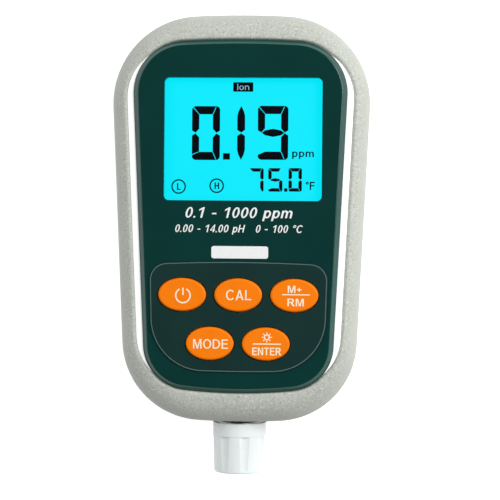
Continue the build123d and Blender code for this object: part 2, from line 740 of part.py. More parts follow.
def make_battery_door():
    """Flush door with a groove for its seal and a sunk screw in each tab."""
    door = prism(door_shape(), DOOR_SUNK, door_inner)
    door = fillet(door.edges().group_by(Axis.Z)[0], DOOR_THICKNESS / 5)
    door -= door_seal_ring()
    for y in door_screws.values():
        sunk = DOOR_SUNK + DOOR_THICKNESS * 2 / 3
        door -= Pos(0, y) * Cylinder(DOOR_SCREW_HEAD + SLIP, sunk, align=BASE)
        door -= Pos(0, y) * Cylinder(DOOR_SCREW_RADIUS + SLIP, door_inner, align=BASE)
    return door


def door_seal_ring():
    """Rectangular loop round the mouth of the bay."""
    middle = DOOR_LEDGE / 2
    outer = RectangleRounded(
        bay_width + 2 * middle + DOOR_SEAL_WIDTH, bay_length + 2 * middle + DOOR_SEAL_WIDTH, DOOR_CORNER / 2
    )
    ring = Pos(0, BAY_CENTRE) * (outer - offset(outer, -DOOR_SEAL_WIDTH))
    return prism(ring, door_inner - DOOR_SEAL_HEIGHT, door_inner)


def make_door_screw(y):
    """Captive screw with a coin slot, flush in its tab of the door."""
    top = DOOR_SUNK + DOOR_THICKNESS * 2 / 3
    screw = Pos(0, 0, DOOR_SUNK) * Cylinder(DOOR_SCREW_HEAD, top - DOOR_SUNK, align=BASE)
    shank = door_inner + DOOR_SCREW_LENGTH - SLIP - top
    screw += Pos(0, 0, top) * Cylinder(DOOR_SCREW_RADIUS, shank, align=BASE)
    screw -= Pos(0, 0, DOOR_SUNK) * Box(2 * DOOR_SCREW_HEAD, DOOR_SCREW_SLOT, DOOR_THICKNESS / 2)
    return Pos(0, y) * screw


def make_door_inserts():
    """Brass inserts that the door screws turn into."""
    tube = Circle(DOOR_SCREW_RADIUS + FIT + INSERT_WALL) - Circle(DOOR_SCREW_RADIUS + FIT)
    insert = prism(tube, ledge_height, ledge_height + INSERT_LENGTH - SLIP)
    return [Pos(0, y) * insert for y in door_screws.values()]


# Case fasteners

def make_housing_screws():
    """Four cross-head screws that close the case from the back."""
    seat = SCREW_SUNK + SCREW_HEAD_HEIGHT
    screw = Pos(0, 0, SCREW_SUNK) * Cylinder(SCREW_HEAD, SCREW_HEAD_HEIGHT, align=BASE)
    screw = fillet(screw.edges().group_by(Axis.Z)[0], SCREW_HEAD_HEIGHT / 4)
    screw += Pos(0, 0, seat) * Cylinder(SCREW_RADIUS, SCREW_LENGTH - SCREW_HEAD_HEIGHT, align=BASE)
    slot = Box(SCREW_HEAD, SCREW_HEAD / 5, SCREW_HEAD_HEIGHT)
    screw -= Pos(0, 0, SCREW_SUNK) * (slot + Rot(0, 0, 90) * slot)
    return [Pos(x, y) * screw for x, y in case_screws]


def make_threaded_inserts():
    """Brass inserts in the posts of the front shell."""
    tube = Circle(SCREW_RADIUS + FIT + INSERT_WALL) - Circle(SCREW_RADIUS + FIT)
    insert = prism(tube, PARTING_HEIGHT + FIT, PARTING_HEIGHT + INSERT_LENGTH)
    return [Pos(x, y) * insert for x, y in case_screws]


# Probe socket

flange_start = GASKET_THICKNESS - SEAT_DEPTH
flange_stop = flange_start + SOCKET_FLANGE
collar_flange_start = flange_stop + SLIP
collar_flange_stop = collar_flange_start + COLLAR_FLANGE
ring_start = collar_flange_stop + SLIP
ring_stop = ring_start + RING_THICKNESS
socket_mouth = COLLAR_LENGTH - SOCKET_RECESS_DEPTH
insert_face = socket_mouth - SOCKET_DEPTH
shell_radius = SOCKET_BORE + SOCKET_WALL
groove_radius = shell_radius - RING_GROOVE
washer_start = -SEAT_DEPTH - WALL - WASHER_THICKNESS
nut_start = washer_start - NUT_THICKNESS
nut_corner = NUT_FLATS / math.sqrt(3)


def make_socket_shell():
    """Threaded metal barrel with a sealing flange, a ring groove and a keyed mouth."""
    shell = socket_round(shell_radius, -SOCKET_TAIL, socket_mouth)
    shell += socket_round(SOCKET_FLANGE_RADIUS, flange_start, flange_stop)
    shell -= socket_round(shell_radius, ring_start - FIT, ring_stop + FIT) - socket_round(
        groove_radius, ring_start - FIT, ring_stop + FIT
    )
    mouth = shell.edges().filter_by(GeomType.CIRCLE).sort_by(Axis.Y)[0]
    shell = chamfer(mouth, SOCKET_WALL / 3)
    shell -= socket_round(SOCKET_BORE, insert_face, socket_mouth)
    shell -= socket_round(SOCKET_BORE - SOCKET_STEP, -SOCKET_TAIL, insert_face)
    keyway = Box(SOCKET_KEYWAY, shell_radius, SOCKET_KEYWAY, align=(Align.CENTER, Align.MIN, Align.MAX))
    return shell - along_socket(socket_mouth) * keyway


def make_socket_insert():
    """Insulator that carries the contacts at the bottom of the socket."""
    insert = socket_round(SOCKET_BORE - SOCKET_STEP - FIT, SOCKET_RECESS_DEPTH - SOCKET_TAIL, insert_face)
    return insert - contact_rounds(CONTACT_RADIUS + FIT, SOCKET_RECESS_DEPTH - SOCKET_TAIL, insert_face)


def contact_places():
    """Centre contact and a circle of contacts round it."""
    places = [(0, 0)]
    for index in range(CONTACT_COUNT):
        angle = math.radians(90 + index * 360 / CONTACT_COUNT)
        places.append((CONTACT_CIRCLE * math.cos(angle), CONTACT_CIRCLE * math.sin(angle)))
    return places


def contact_rounds(radius, start, stop):
    """One rod for each contact, along the socket's axis."""
    rod = Cylinder(radius, stop - start, align=BASE)
    return Part() + [along_socket(start) * Pos(x, y) * rod for x, y in contact_places()]


def make_socket_contacts():
    """Hollow contacts, open towards the probe and solid at the solder tails."""
    rods = contact_rounds(CONTACT_RADIUS, -SOCKET_TAIL, insert_face - FIT)
    return rods - contact_rounds(CONTACT_RADIUS / 2, insert_face - SOCKET_DEPTH / 2, insert_face)


def socket_washer(radius, start, stop):
    """Flat ring on the socket's barrel."""
    return socket_round(radius, start, stop) - socket_round(shell_radius + FIT, start, stop)


def make_socket_gasket():
    return socket_washer(SOCKET_FLANGE_RADIUS, -SEAT_DEPTH, flange_start)


def make_lock_washer():
    return socket_washer(NUT_FLATS / 2, washer_start, washer_start + WASHER_THICKNESS)


def make_socket_nut():
    shape = RegularPolygon(NUT_FLATS / 2, 6, major_radius=False) - Circle(shell_radius + FIT)
    return along_socket(nut_start) * extrude(shape, NUT_THICKNESS)


def make_collar_ring():
    """Open spring ring in the barrel's groove that keeps the collar on."""
    outer = shell_radius + RING_GROOVE
    ring = socket_round(outer, ring_start, ring_stop) - socket_round(groove_radius + FIT, ring_start, ring_stop)
    gap = Box(2 * RING_THICKNESS, 2 * outer, 2 * RING_THICKNESS, align=(Align.CENTER, Align.MIN, Align.CENTER))
    return ring - along_socket((ring_start + ring_stop) / 2) * gap


def make_socket_collar():
    """Turning collar: a plain band, then eight finger flutes and a rounded rim."""
    rib_radius = COLLAR_RADIUS - COLLAR_STEP
    end_radius = rib_radius - COLLAR_END_TAPER
    band_end = COLLAR_STANDOFF + COLLAR_BAND
    inside = COLLAR_RADIUS - COLLAR_WALL
    room = SOCKET_FLANGE_RADIUS + SLIP
    flange_bore = shell_radius + FIT
    profile = Polyline(
        (room, COLLAR_STANDOFF), (COLLAR_RADIUS, COLLAR_STANDOFF), (COLLAR_RADIUS, band_end),
        (rib_radius, band_end), (end_radius, COLLAR_LENGTH), (inside, COLLAR_LENGTH),
        (inside, collar_flange_stop), (flange_bore, collar_flange_stop),
        (flange_bore, collar_flange_start), (room, collar_flange_start), close=True,
    )
    collar = revolve(Plane.XZ * make_face(profile), Axis.Z)
    rim = collar.edges().filter_by(GeomType.CIRCLE).group_by(Axis.Z)[-1].sort_by(SortBy.RADIUS)[-1]
    collar = fillet(rim, COLLAR_ROUND)
    collar = fillet(collar.edges().filter_by(lambda edge: is_outer_step(edge, band_end)), COLLAR_STEP / 2)
    away = rib_radius + FLUTE_RADIUS - FLUTE_DEPTH
    length = COLLAR_LENGTH - COLLAR_RIM - band_end
    flute = Pos(0, away, band_end) * Cylinder(FLUTE_RADIUS, length, align=BASE)
    for index in range(FLUTE_COUNT):
        collar -= Rot(0, 0, FLUTE_TURN + index * 360 / FLUTE_COUNT) * flute
    return along_socket(0) * collar


def is_outer_step(edge, height):
    """True for the outer edge where the collar's plain band ends."""
    return abs(edge.center().Z - height) < FIT and abs(edge.radius - COLLAR_RADIUS) < FIT


def make_socket_leads():
    """Insulated leads from the contact tails to the edge of the board."""
    tail_y = bottom_end + SOCKET_TAIL
    pad_y = board_bottom_y + BOARD_MARGIN
    leads = []
    for x, y in contact_places():
        start = Vector(x, tail_y, PARTING_HEIGHT + y)
        bend = start + Vector(0, 4 * LEAD_RADIUS, 0)
        stop = Vector(1.6 * x, pad_y, board_bottom - LEAD_RADIUS)
        mouth = Vector(1.6 * x, board_bottom_y - LEAD_RADIUS, board_bottom - LEAD_RADIUS)
        path = FilletPolyline(start, bend, mouth, stop, radius=LEAD_RADIUS * 2)
        section = Plane(origin=start, z_dir=(0, 1, 0)) * Circle(LEAD_RADIUS)
        leads.append(sweep(section, path=path))
    return leads


def all_parts():
    """Every piece by its name."""
    parts = {
        "front_housing": make_front_housing(),
        "rear_housing": make_rear_housing(),
        "housing_seal": make_housing_seal(),
        "trim_frame": make_trim_frame(),
        "face_panel": make_face_panel(),
        "panel_adhesive": make_panel_adhesive(),
        "display_window": make_display_window(),
        "keypad_overlay": make_keypad_overlay(),
        "keypad_seal": make_keypad_seal(),
        "key_switches": make_key_switches(),
        "main_board": make_main_board(),
        "board_chips": make_board_chips(),
        "input_shield": make_input_shield(),
        "buzzer": make_buzzer(),
        "board_screws": make_board_screws(),
        "lcd_glass": make_lcd_glass(),
        "backlight_panel": make_backlight_panel(),
        "elastomer_strips": make_elastomer_strips(),
        "lcd_frame": make_lcd_frame(),
        "plate_contacts": make_plate_contacts(),
        "spring_contacts": make_spring_contacts(),
        "battery_door": make_battery_door(),
        "door_seal": door_seal_ring(),
        "door_inserts": make_door_inserts(),
        "housing_screws": make_housing_screws(),
        "threaded_inserts": make_threaded_inserts(),
        "socket_shell": make_socket_shell(),
        "socket_insert": make_socket_insert(),
        "socket_contacts": make_socket_contacts(),
        "socket_gasket": make_socket_gasket(),
        "lock_washer": make_lock_washer(),
        "socket_nut": make_socket_nut(),
        "collar_ring": make_collar_ring(),
        "socket_collar": make_socket_collar(),
        "socket_leads": make_socket_leads(),
    }
    for name, (x, y) in KEYS.items():
        parts["key_" + name] = make_key(x, y)
        parts["plunger_" + name] = make_plunger(x, y)
    for name, y in door_screws.items():
        parts["door_screw_" + name] = make_door_screw(y)
    for index, x in enumerate(cell_places(), start=1):
        parts["battery_" + str(index)] = make_cell(x)
    return parts


def main():
    os.makedirs("parts", exist_ok=True)
    middle = Pos(0, COLLAR_LENGTH / 2, 0)
    for name, shape in all_parts().items():
        pieces = shape if isinstance(shape, list) else [shape]
        solids = [middle * solid for piece in pieces for solid in piece.solids()]
        whole = solids[0] if len(solids) == 1 else Compound(solids)
        export_step(whole, "parts/" + name + ".step")


main()
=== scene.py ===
import json
import math

import bmesh
import bpy
from mathutils import Matrix, Vector

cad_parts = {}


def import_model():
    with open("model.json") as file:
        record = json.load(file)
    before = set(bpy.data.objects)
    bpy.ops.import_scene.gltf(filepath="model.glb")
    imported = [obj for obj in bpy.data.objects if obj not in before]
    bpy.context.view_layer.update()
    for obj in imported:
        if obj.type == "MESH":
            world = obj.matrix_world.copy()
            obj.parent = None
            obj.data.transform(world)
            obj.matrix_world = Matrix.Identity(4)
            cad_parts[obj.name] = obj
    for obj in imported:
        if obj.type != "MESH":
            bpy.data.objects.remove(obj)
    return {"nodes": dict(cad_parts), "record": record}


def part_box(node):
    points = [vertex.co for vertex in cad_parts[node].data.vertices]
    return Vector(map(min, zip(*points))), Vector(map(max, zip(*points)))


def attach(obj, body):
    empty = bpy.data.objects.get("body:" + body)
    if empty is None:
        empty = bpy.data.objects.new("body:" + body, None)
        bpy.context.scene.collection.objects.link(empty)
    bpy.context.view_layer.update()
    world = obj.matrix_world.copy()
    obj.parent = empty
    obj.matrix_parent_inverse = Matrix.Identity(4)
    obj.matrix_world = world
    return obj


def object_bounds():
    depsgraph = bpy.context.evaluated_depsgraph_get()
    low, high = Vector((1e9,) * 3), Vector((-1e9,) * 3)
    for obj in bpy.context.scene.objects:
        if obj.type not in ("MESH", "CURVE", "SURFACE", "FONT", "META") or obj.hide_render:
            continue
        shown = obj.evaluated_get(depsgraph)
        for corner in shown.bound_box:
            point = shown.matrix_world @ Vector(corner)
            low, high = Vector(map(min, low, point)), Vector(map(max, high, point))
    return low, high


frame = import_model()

MM = 0.001

# The photograph's camera, in millimetres: across and along from the display window's middle,
# and above the floor
CAMERA_PLACE = (18.26, -28.45, 398.0)
CAMERA_TARGET = (1.46, -28.45, 15.0)
CAMERA_LEAN = 0.0088
CAMERA_LENS = 103.7
CAMERA_SENSOR = 36.0

# Print: how far it stands on its surface, and its thickness, in millimetres
PRINT_LIFT = 0.004
PRINT_THICKNESS = 0.012
BADGE_THICKNESS = 0.05
EDGE_LINE_WIDTH = 0.2

# Points closer than this are joined, and faces flatter than this are level; in metres
WELD = 1e-7
LEVEL = 1e-6

# Lettering: the gap between letters and the lean of slanted words, in capital heights
LETTER_GAP = 0.13
FACE_SLANT = 0.2

# Stage: the floor's half side in metres, its drop under the meter in millimetres, its own light
FLOOR_REACH = 3.0
FLOOR_DROP = 0.05
FLOOR_GLOW = 0.74

# Surroundings: the even light, the horizon and the side windows that gloss sees, and where
# each of the last two starts and ends on the sphere of directions
WORLD_LEVEL = 0.30
HORIZON_LEVEL = 0.9
HORIZON_BAND = (0.05, 0.35)
SIDE_LEVEL = 0.9
SIDE_BAND = (0.84, 0.96)

# Lamps: place and size in metres, power in watts
KEY_LAMP = ((0.62, 0.30, 0.62), (0.5, 0.7), 7.5)
FILL_LAMP = ((-0.7, 0.30, 0.6), (0.6, 0.6), 2.5)

cad_low, cad_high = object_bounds()
nodes = frame["nodes"]
record = frame["record"]


def span(node):
    """Lowest and highest corner of a CAD node, in millimetres."""
    low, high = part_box(node)
    return Vector(low) / MM, Vector(high) / MM


def middle(node):
    """Centre of a CAD node's box, in millimetres."""
    low, high = span(node)
    return (low + high) / 2


# Materials

class Nodes:
    """A small helper that builds one material's node tree."""

    def __init__(self, name):
        self.material = bpy.data.materials.new(name)
        self.material.use_nodes = True
        self.tree = self.material.node_tree
        self.shader = self.tree.nodes["Principled BSDF"]
        self.output = self.tree.nodes["Material Output"]
        coordinates = self.tree.nodes.new("ShaderNodeTexCoord")
        self.place = coordinates.outputs["Object"]

    def add(self, kind, **values):
        node = self.tree.nodes.new(kind)
        for key, value in values.items():
            setattr(node, key, value)
        return node

    def link(self, source, target):
        self.tree.links.new(source, target)

    def set(self, **values):
        for key, value in values.items():
            socket = self.shader.inputs[key.replace("_", " ")]
            socket.default_value = value

    def noise(self, scale, detail=2.0, roughness=0.5, source=None, distortion=0.0):
        """Noise texture in object space; scale is in cells per metre."""
        node = self.add("ShaderNodeTexNoise")
        node.inputs["Scale"].default_value = scale
        node.inputs["Detail"].default_value = detail
        node.inputs["Roughness"].default_value = roughness
        node.inputs["Distortion"].default_value = distortion
        self.link(source or self.place, node.inputs["Vector"])
        return node.outputs["Fac"]

    def cells(self, scale):
        """Cell texture in object space; scale is in cells per metre."""
        node = self.add("ShaderNodeTexVoronoi")
        node.inputs["Scale"].default_value = scale
        self.link(self.place, node.inputs["Vector"])
        return node.outputs["Distance"]

    def stretched(self, scale):
        """Object coordinates stretched along one axis, for brushed or turned marks."""
        node = self.add("ShaderNodeMapping")
        node.inputs["Scale"].default_value = scale
        self.link(self.place, node.inputs["Vector"])
        return node.outputs["Vector"]

    def ramp(self, source, stops):
        """Colours or greys by value: stops are (place, colour)."""
        node = self.add("ShaderNodeValToRGB")
        elements = node.color_ramp.elements
        while len(elements) > len(stops):
            elements.remove(elements[-1])
        while len(elements) < len(stops):
            elements.new(1.0)
        for element, (at, colour) in zip(elements, stops):
            element.position = at
            element.color = colour if isinstance(colour, tuple) else (colour, colour, colour, 1)
        self.link(source, node.inputs["Fac"])
        return node.outputs["Color"]

    def span(self, source, low, high, out_low=0.0, out_high=1.0):
        """Maps a value from one range to another, clamped."""
        node = self.add("ShaderNodeMapRange")
        limits = {"From Min": low, "From Max": high, "To Min": out_low, "To Max": out_high}
        for key, value in limits.items():
            node.inputs[key].default_value = value
        self.link(source, node.inputs["Value"])
        return node.outputs["Result"]

    def math(self, operation, first, second):
        node = self.add("ShaderNodeMath", operation=operation)
        for index, value in enumerate((first, second)):
            if isinstance(value, (int, float)):
                node.inputs[index].default_value = value
            else:
                self.link(value, node.inputs[index])
        return node.outputs["Value"]

    def mix(self, factor, first, second, blend="MIX"):
        """Mixes two colours; each may be a colour or an output."""
        node = self.add("ShaderNodeMix", data_type="RGBA", blend_type=blend)
        sockets = (node.inputs["Factor"], node.inputs[6], node.inputs[7])
        for socket, value in zip(sockets, (factor, first, second)):
            if isinstance(value, (int, float, tuple)):
                socket.default_value = value
            else:
                self.link(value, socket)
        return node.outputs[2]

    def facing(self):
        """The Z part of the surface normal: 1 where the surface faces up."""
        geometry = self.add("ShaderNodeNewGeometry")
        split = self.add("ShaderNodeSeparateXYZ")
        self.link(geometry.outputs["Normal"], split.inputs["Vector"])
        return split.outputs["Z"]

    def bump(self, source, distance, strength=1.0):
        """Bump from a height output; distance is in millimetres."""
        node = self.add("ShaderNodeBump")
        node.inputs["Distance"].default_value = distance * MM
        node.inputs["Strength"].default_value = strength
        self.link(source, node.inputs["Height"])
        self.link(node.outputs["Normal"], self.shader.inputs["Normal"])

    def colour(self, source):
        self.link(source, self.shader.inputs["Base Color"])

    def rough(self, source):
        self.link(source, self.shader.inputs["Roughness"])


def linear(red, green, blue):
    """Linear colour from the eight-bit value that it shows as."""
    def channel(value):
        value /= 255
        return value / 12.92 if value <= 0.04045 else ((value + 0.055) / 1.055) ** 2.4
    return (channel(red), channel(green), channel(blue), 1)


def shade(colour, factor):
    """A colour made lighter or darker by a factor."""
    return tuple(part * factor for part in colour[:3]) + (1,)


def moulded(name, colour, roughness, grain=0.006):
    """Moulded plastic: fine grain, slight mottle and uneven sheen."""
    n = Nodes(name)
    n.colour(n.ramp(n.noise(160.0, 3.0), [(0.3, shade(colour, 0.94)), (0.7, shade(colour, 1.06))]))
    n.rough(n.span(n.noise(420.0, 3.0), 0.3, 0.7, roughness - 0.06, roughness + 0.08))
    n.bump(n.noise(4500.0, 3.0, 0.6), grain)
    return n.material


def metal(name, colour, roughness=0.28):
    """Plated or turned metal: fine directional marks and a little tarnish."""
    n = Nodes(name)
    n.colour(n.ramp(n.noise(240.0, 4.0, 0.6), [(0.35, shade(colour, 0.88)), (0.65, colour)]))
    marks = n.noise(6.0, 3.0, 0.6, source=n.stretched((900.0, 900.0, 60.0)))
    n.rough(n.span(marks, 0.3, 0.7, roughness - 0.07, roughness + 0.1))
    n.bump(marks, 0.002)
    n.set(Metallic=1.0)
    return n.material


def rubber(name, colour, roughness=0.75, grain=0.01):
    """Rubber or silicone: dull, with a soft dusty bloom."""
    n = Nodes(name)
    bloom = n.noise(700.0, 4.0, 0.7)
    n.colour(n.ramp(bloom, [(0.35, colour), (0.75, shade(colour, 1.5))]))
    n.rough(n.span(n.noise(300.0, 2.0), 0.3, 0.7, roughness - 0.1, roughness + 0.08))
    n.bump(n.noise(3800.0, 3.0, 0.6), grain)
    n.set(Sheen_Weight=0.15)
    return n.material


CASE_TONE = linear(195, 199, 190)
SPECK_DARK = linear(138, 136, 124)
SPECK_LIGHT = linear(234, 236, 229)


def case_material():
    """Grey moulding with a speckled grain on its faces and a smoother outer rounding."""
    n = Nodes("case_grey_grain")
    crest = n.span(n.facing(), 0.35, 0.85)
    speck = n.noise(1950.0, 4.0, 0.75, distortion=0.4)
    fleck = n.ramp(speck, [
        (0.30, SPECK_DARK), (0.42, shade(CASE_TONE, 0.9)), (0.55, CASE_TONE), (0.72, SPECK_LIGHT),
    ])
    calm = n.ramp(n.noise(900.0, 3.0, 0.6), [
        (0.3, shade(CASE_TONE, 0.96)), (0.7, shade(CASE_TONE, 1.03)),
    ])
    mottle = n.ramp(n.noise(120.0, 2.0), [(0.3, 0.97), (0.7, 1.0)])
    n.colour(n.mix(1.0, n.mix(crest, calm, fleck), mottle, "MULTIPLY"))
    n.rough(n.span(speck, 0.3, 0.7, 0.5, 0.72))
    depth = n.math("MULTIPLY", speck, n.math("ADD", 0.35, n.math("MULTIPLY", crest, 0.65)))
    n.bump(depth, 0.05, 0.8)
    n.set(Specular_IOR_Level=0.35)
    return n.material


PANEL_TONE = linear(12, 56, 52)
# Painted highlight: a lighter green for the panel's sloping bevel
BEVEL_HIGHLIGHT_TONE = linear(10, 72, 63)
# Painted shade: a near-black green for the panel's steep outer side
EDGE_SHADE_TONE = linear(6, 34, 30)


def panel_material():
    """Deep green gloss plastic, with painted highlight (lighter green) on its bevel and painted shade
    (near-black) down its outer edge.
    """
    n = Nodes("panel_green_gloss")
    # Painted highlight: the sloping bevel is coloured lighter green
    bevel_highlight = n.span(n.facing(), 0.80, 0.995, 1.0, 0.0)
    cloud = n.ramp(n.noise(60.0, 2.0), [
        (0.3, shade(PANEL_TONE, 0.93)), (0.7, shade(PANEL_TONE, 1.07)),
    ])
    # Painted shade: the panel's steep outer side is coloured near-black
    edge = n.span(n.facing(), 0.45, 0.62, 0.0, 1.0)
    n.colour(n.mix(edge, EDGE_SHADE_TONE, n.mix(bevel_highlight, cloud, BEVEL_HIGHLIGHT_TONE)))
    n.rough(n.span(n.noise(900.0, 3.0, 0.7), 0.35, 0.8, 0.16, 0.24))
    n.bump(n.noise(700.0, 3.0, 0.6), 0.0015)
    n.set(Specular_IOR_Level=0.4)
    return n.material


KEYPAD_TONE = linear(19, 51, 48)


def keypad_material():
    """Satin overlay round the keys, with a very fine pebble."""
    n = Nodes("keypad_green_satin")
    cloud = n.noise(90.0, 3.0)
    n.colour(n.ramp(cloud, [(0.3, shade(KEYPAD_TONE, 0.92)), (0.7, shade(KEYPAD_TONE, 1.08))]))
    n.rough(n.span(n.noise(2600.0, 2.0), 0.3, 0.7, 0.38, 0.5))
    n.bump(n.cells(5200.0), 0.006)
    n.set(Specular_IOR_Level=0.15)
    return n.material


KEY_TONE = linear(253, 128, 0)


def key_material():
    """Orange silicone-coated key with a soft sheen."""
    n = Nodes("key_orange_satin")
    cloud = n.noise(220.0, 3.0)
    n.colour(n.ramp(cloud, [(0.3, shade(KEY_TONE, 0.97)), (0.7, shade(KEY_TONE, 1.03))]))
    n.rough(n.span(n.noise(3000.0, 2.0), 0.3, 0.7, 0.42, 0.55))
    n.bump(n.noise(5200.0, 2.0), 0.004)
    n.set(Specular_IOR_Level=0.15)
    return n.material


# Painted light: the trim is given a faint white glow of its own, so it stays bright inside its shaded
# groove
TRIM_PAINTED_GLOW = 0.36


def trim_material():
    """Bright smooth trim frame with faint polishing marks and a painted glow that brightens it."""
    n = Nodes("trim_bright_gloss")
    tone = linear(247, 248, 247)
    n.colour(n.ramp(n.noise(150.0, 2.0), [(0.3, shade(tone, 0.97)), (0.7, tone)]))
    # Painted light: an emission glow brightens the trim
    n.set(Emission_Color=(1, 1, 1, 1), Emission_Strength=TRIM_PAINTED_GLOW)
    marks = n.noise(8.0, 3.0, 0.6, source=n.stretched((700.0, 50.0, 700.0)))
    n.rough(n.span(marks, 0.3, 0.7, 0.14, 0.24))
    n.bump(marks, 0.0012)
    return n.material


def collar_material():
    """White collar plastic, faintly cool, with soft moulding marks."""
    n = Nodes("collar_white_satin")
    tone = linear(243, 250, 250)
    n.colour(n.ramp(n.noise(200.0, 3.0), [(0.3, shade(tone, 0.97)), (0.7, tone)]))
    n.rough(n.span(n.noise(1400.0, 3.0), 0.3, 0.7, 0.26, 0.38))
    n.bump(n.noise(2400.0, 2.0), 0.003)
    n.set(Subsurface_Weight=0.12, Subsurface_Scale=0.6 * MM)
    return n.material


LIT_TONE = linear(0, 237, 255)


def lit_material():
    """Backlit display: an even glow with a fine cell grid and a slight fall at the rim."""
    n = Nodes("display_backlit")
    low, high = span("display_window")
    split = n.add("ShaderNodeSeparateXYZ")
    n.link(n.place, split.inputs["Vector"])
    away = []
    for axis, name in ((0, "X"), (1, "Y")):
        centre = (low[axis] + high[axis]) / 2 * MM
        half = (high[axis] - low[axis]) / 2 * MM
        shift = n.math("ABSOLUTE", n.math("SUBTRACT", split.outputs[name], centre), 0.0)
        away.append(n.math("DIVIDE", shift, half))
    rim = n.span(n.math("MAXIMUM", away[0], away[1]), 0.80, 1.0, 1.0, 0.93)
    cloud = n.span(n.noise(45.0, 2.0), 0.3, 0.7, 0.985, 1.0)
    grain = n.span(n.cells(6500.0), 0.0, 0.5, 0.985, 1.0)
    level = n.math("MULTIPLY", n.math("MULTIPLY", rim, cloud), grain)
    glow = n.mix(1.0, LIT_TONE, n.ramp(level, [(0.0, 0.0), (1.0, 1.0)]), "MULTIPLY")
    n.link(glow, n.shader.inputs["Emission Color"])
    n.set(Base_Color=shade(LIT_TONE, 0.03), Emission_Strength=1.0, Roughness=0.35)
    return n.material


def lens_material():
    """Clear hard-coated window: almost no colour, and a thin gloss on its outer faces."""
    n = Nodes("lens_clear")
    n.tree.nodes.remove(n.shader)
    clear = n.add("ShaderNodeBsdfTransparent")
    clear.inputs["Color"].default_value = (0.985, 0.995, 0.995, 1)
    gloss = n.add("ShaderNodeBsdfGlossy")
    gloss.inputs["Color"].default_value = (1, 1, 1, 1)
    n.link(n.span(n.noise(800.0, 3.0), 0.3, 0.7, 0.02, 0.05), gloss.inputs["Roughness"])
    fresnel = n.add("ShaderNodeFresnel")
    fresnel.inputs["IOR"].default_value = 1.46
    streaks = n.noise(9.0, 4.0, 0.7, source=n.stretched((300.0, 40.0, 40.0)))
    scuffs = n.span(streaks, 0.55, 0.9, 0.8, 1.0)
    mixer = n.add("ShaderNodeMixShader")
    geometry = n.add("ShaderNodeNewGeometry")
    outside = n.math("SUBTRACT", 1.0, geometry.outputs["Backfacing"])
    gloss_part = n.math("MULTIPLY", n.math("MULTIPLY", fresnel.outputs["Fac"], scuffs), outside)
    n.link(gloss_part, mixer.inputs["Fac"])
    n.link(clear.outputs["BSDF"], mixer.inputs[1])
    n.link(gloss.outputs["BSDF"], mixer.inputs[2])
    n.link(mixer.outputs["Shader"], n.output.inputs["Surface"])
    return n.material


def board_material():
    """Solder mask with a faint glass-cloth weave under it."""
    n = Nodes("board_green_mask")
    wave = n.add("ShaderNodeTexWave", wave_type="BANDS", bands_direction="DIAGONAL")
    wave.inputs["Scale"].default_value = 900.0
    n.link(n.place, wave.inputs["Vector"])
    tone = linear(14, 104, 58)
    n.colour(n.ramp(wave.outputs["Fac"], [(0.2, shade(tone, 0.85)), (0.8, shade(tone, 1.1))]))
    n.rough(n.span(n.noise(500.0, 3.0), 0.3, 0.7, 0.25, 0.4))
    n.bump(n.noise(1500.0, 3.0), 0.008)
    return n.material


def cell_material():
    """Plain printed sleeve of a battery cell: slate blue, with a pale upper end."""
    n = Nodes("cell_sleeve_print")
    split = n.add("ShaderNodeSeparateXYZ")
    n.link(n.place, split.inputs["Vector"])
    low, high = span("battery_1")
    band = (low.y + 0.68 * (high.y - low.y)) * MM
    upper = n.span(split.outputs["Y"], band - 0.05 * MM, band + 0.05 * MM)
    pale = linear(176, 181, 184)
    slate = linear(58, 82, 108)
    n.colour(n.mix(upper, slate, pale))
    n.rough(n.span(n.noise(700.0, 3.0), 0.3, 0.7, 0.24, 0.4))
    n.bump(n.noise(1100.0, 3.0, 0.6), 0.01)
    n.set(Metallic=0.35)
    return n.material


STEEL = linear(200, 200, 198)
BRASS = linear(206, 168, 98)
NICKEL = linear(196, 192, 184)

FINISHES = {
    "case_grey": case_material(),
    "panel_green": panel_material(),
    "keypad_green": keypad_material(),
    "trim_bright": trim_material(),
    "key_orange": key_material(),
    "clear_lens": lens_material(),
    "display_glass": lit_material(),
    "display_tray": moulded("tray_white", linear(228, 232, 228), 0.4),
    "collar_white": collar_material(),
    "seal_rubber": rubber("rubber_black", linear(28, 28, 28)),
    "seal_silicone": rubber("silicone_grey", linear(188, 188, 182), 0.6),
    "adhesive": rubber("adhesive_foam", linear(178, 174, 162), 0.85, 0.03),
    "board_green": board_material(),
    "black_plastic": moulded("plastic_black", linear(30, 30, 31), 0.5, 0.012),
    "insulator": moulded("insulator_dark", linear(46, 47, 50), 0.42, 0.006),
    "bright_metal": metal("metal_plated", STEEL),
    "brass": metal("brass_machined", BRASS, 0.3),
    "plated_brass": metal("brass_nickelled", NICKEL, 0.26),
    "cell_sleeve": cell_material(),
    "lead_jacket": moulded("lead_red", linear(150, 30, 24), 0.45, 0.004),
}

for part in record["subparts"]:
    for material_slot in nodes[part["node"]].material_slots:
        material_slot.material = FINISHES[part["material_slot"]]


# Flat print

def piece_from(name, mesh, finish, body):
    """Links a mesh as a piece with a finish, riding on a body."""
    mesh.materials.clear()
    mesh.materials.append(finish)
    piece = bpy.data.objects.new(name, mesh)
    bpy.context.scene.collection.objects.link(piece)
    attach(piece, body)
    return piece


def raised(name, outlines, z, finish, body, thickness=PRINT_THICKNESS):
    """Thin raised print from closed outlines, each a list of (x, y) in millimetres.
    Outlines that touch become one solid."""
    form = bmesh.new()
    for outline in outlines:
        form.faces.new([form.verts.new((x * MM, y * MM, z * MM)) for x, y in outline])
    bmesh.ops.remove_doubles(form, verts=form.verts, dist=WELD)
    bmesh.ops.recalc_face_normals(form, faces=form.faces)
    grown = bmesh.ops.extrude_face_region(form, geom=list(form.faces), use_keep_orig=True)
    tops = [item for item in grown["geom"] if isinstance(item, bmesh.types.BMVert)]
    bmesh.ops.translate(form, verts=tops, vec=(0, 0, thickness * MM))
    return closed_piece(name, form, finish, body)


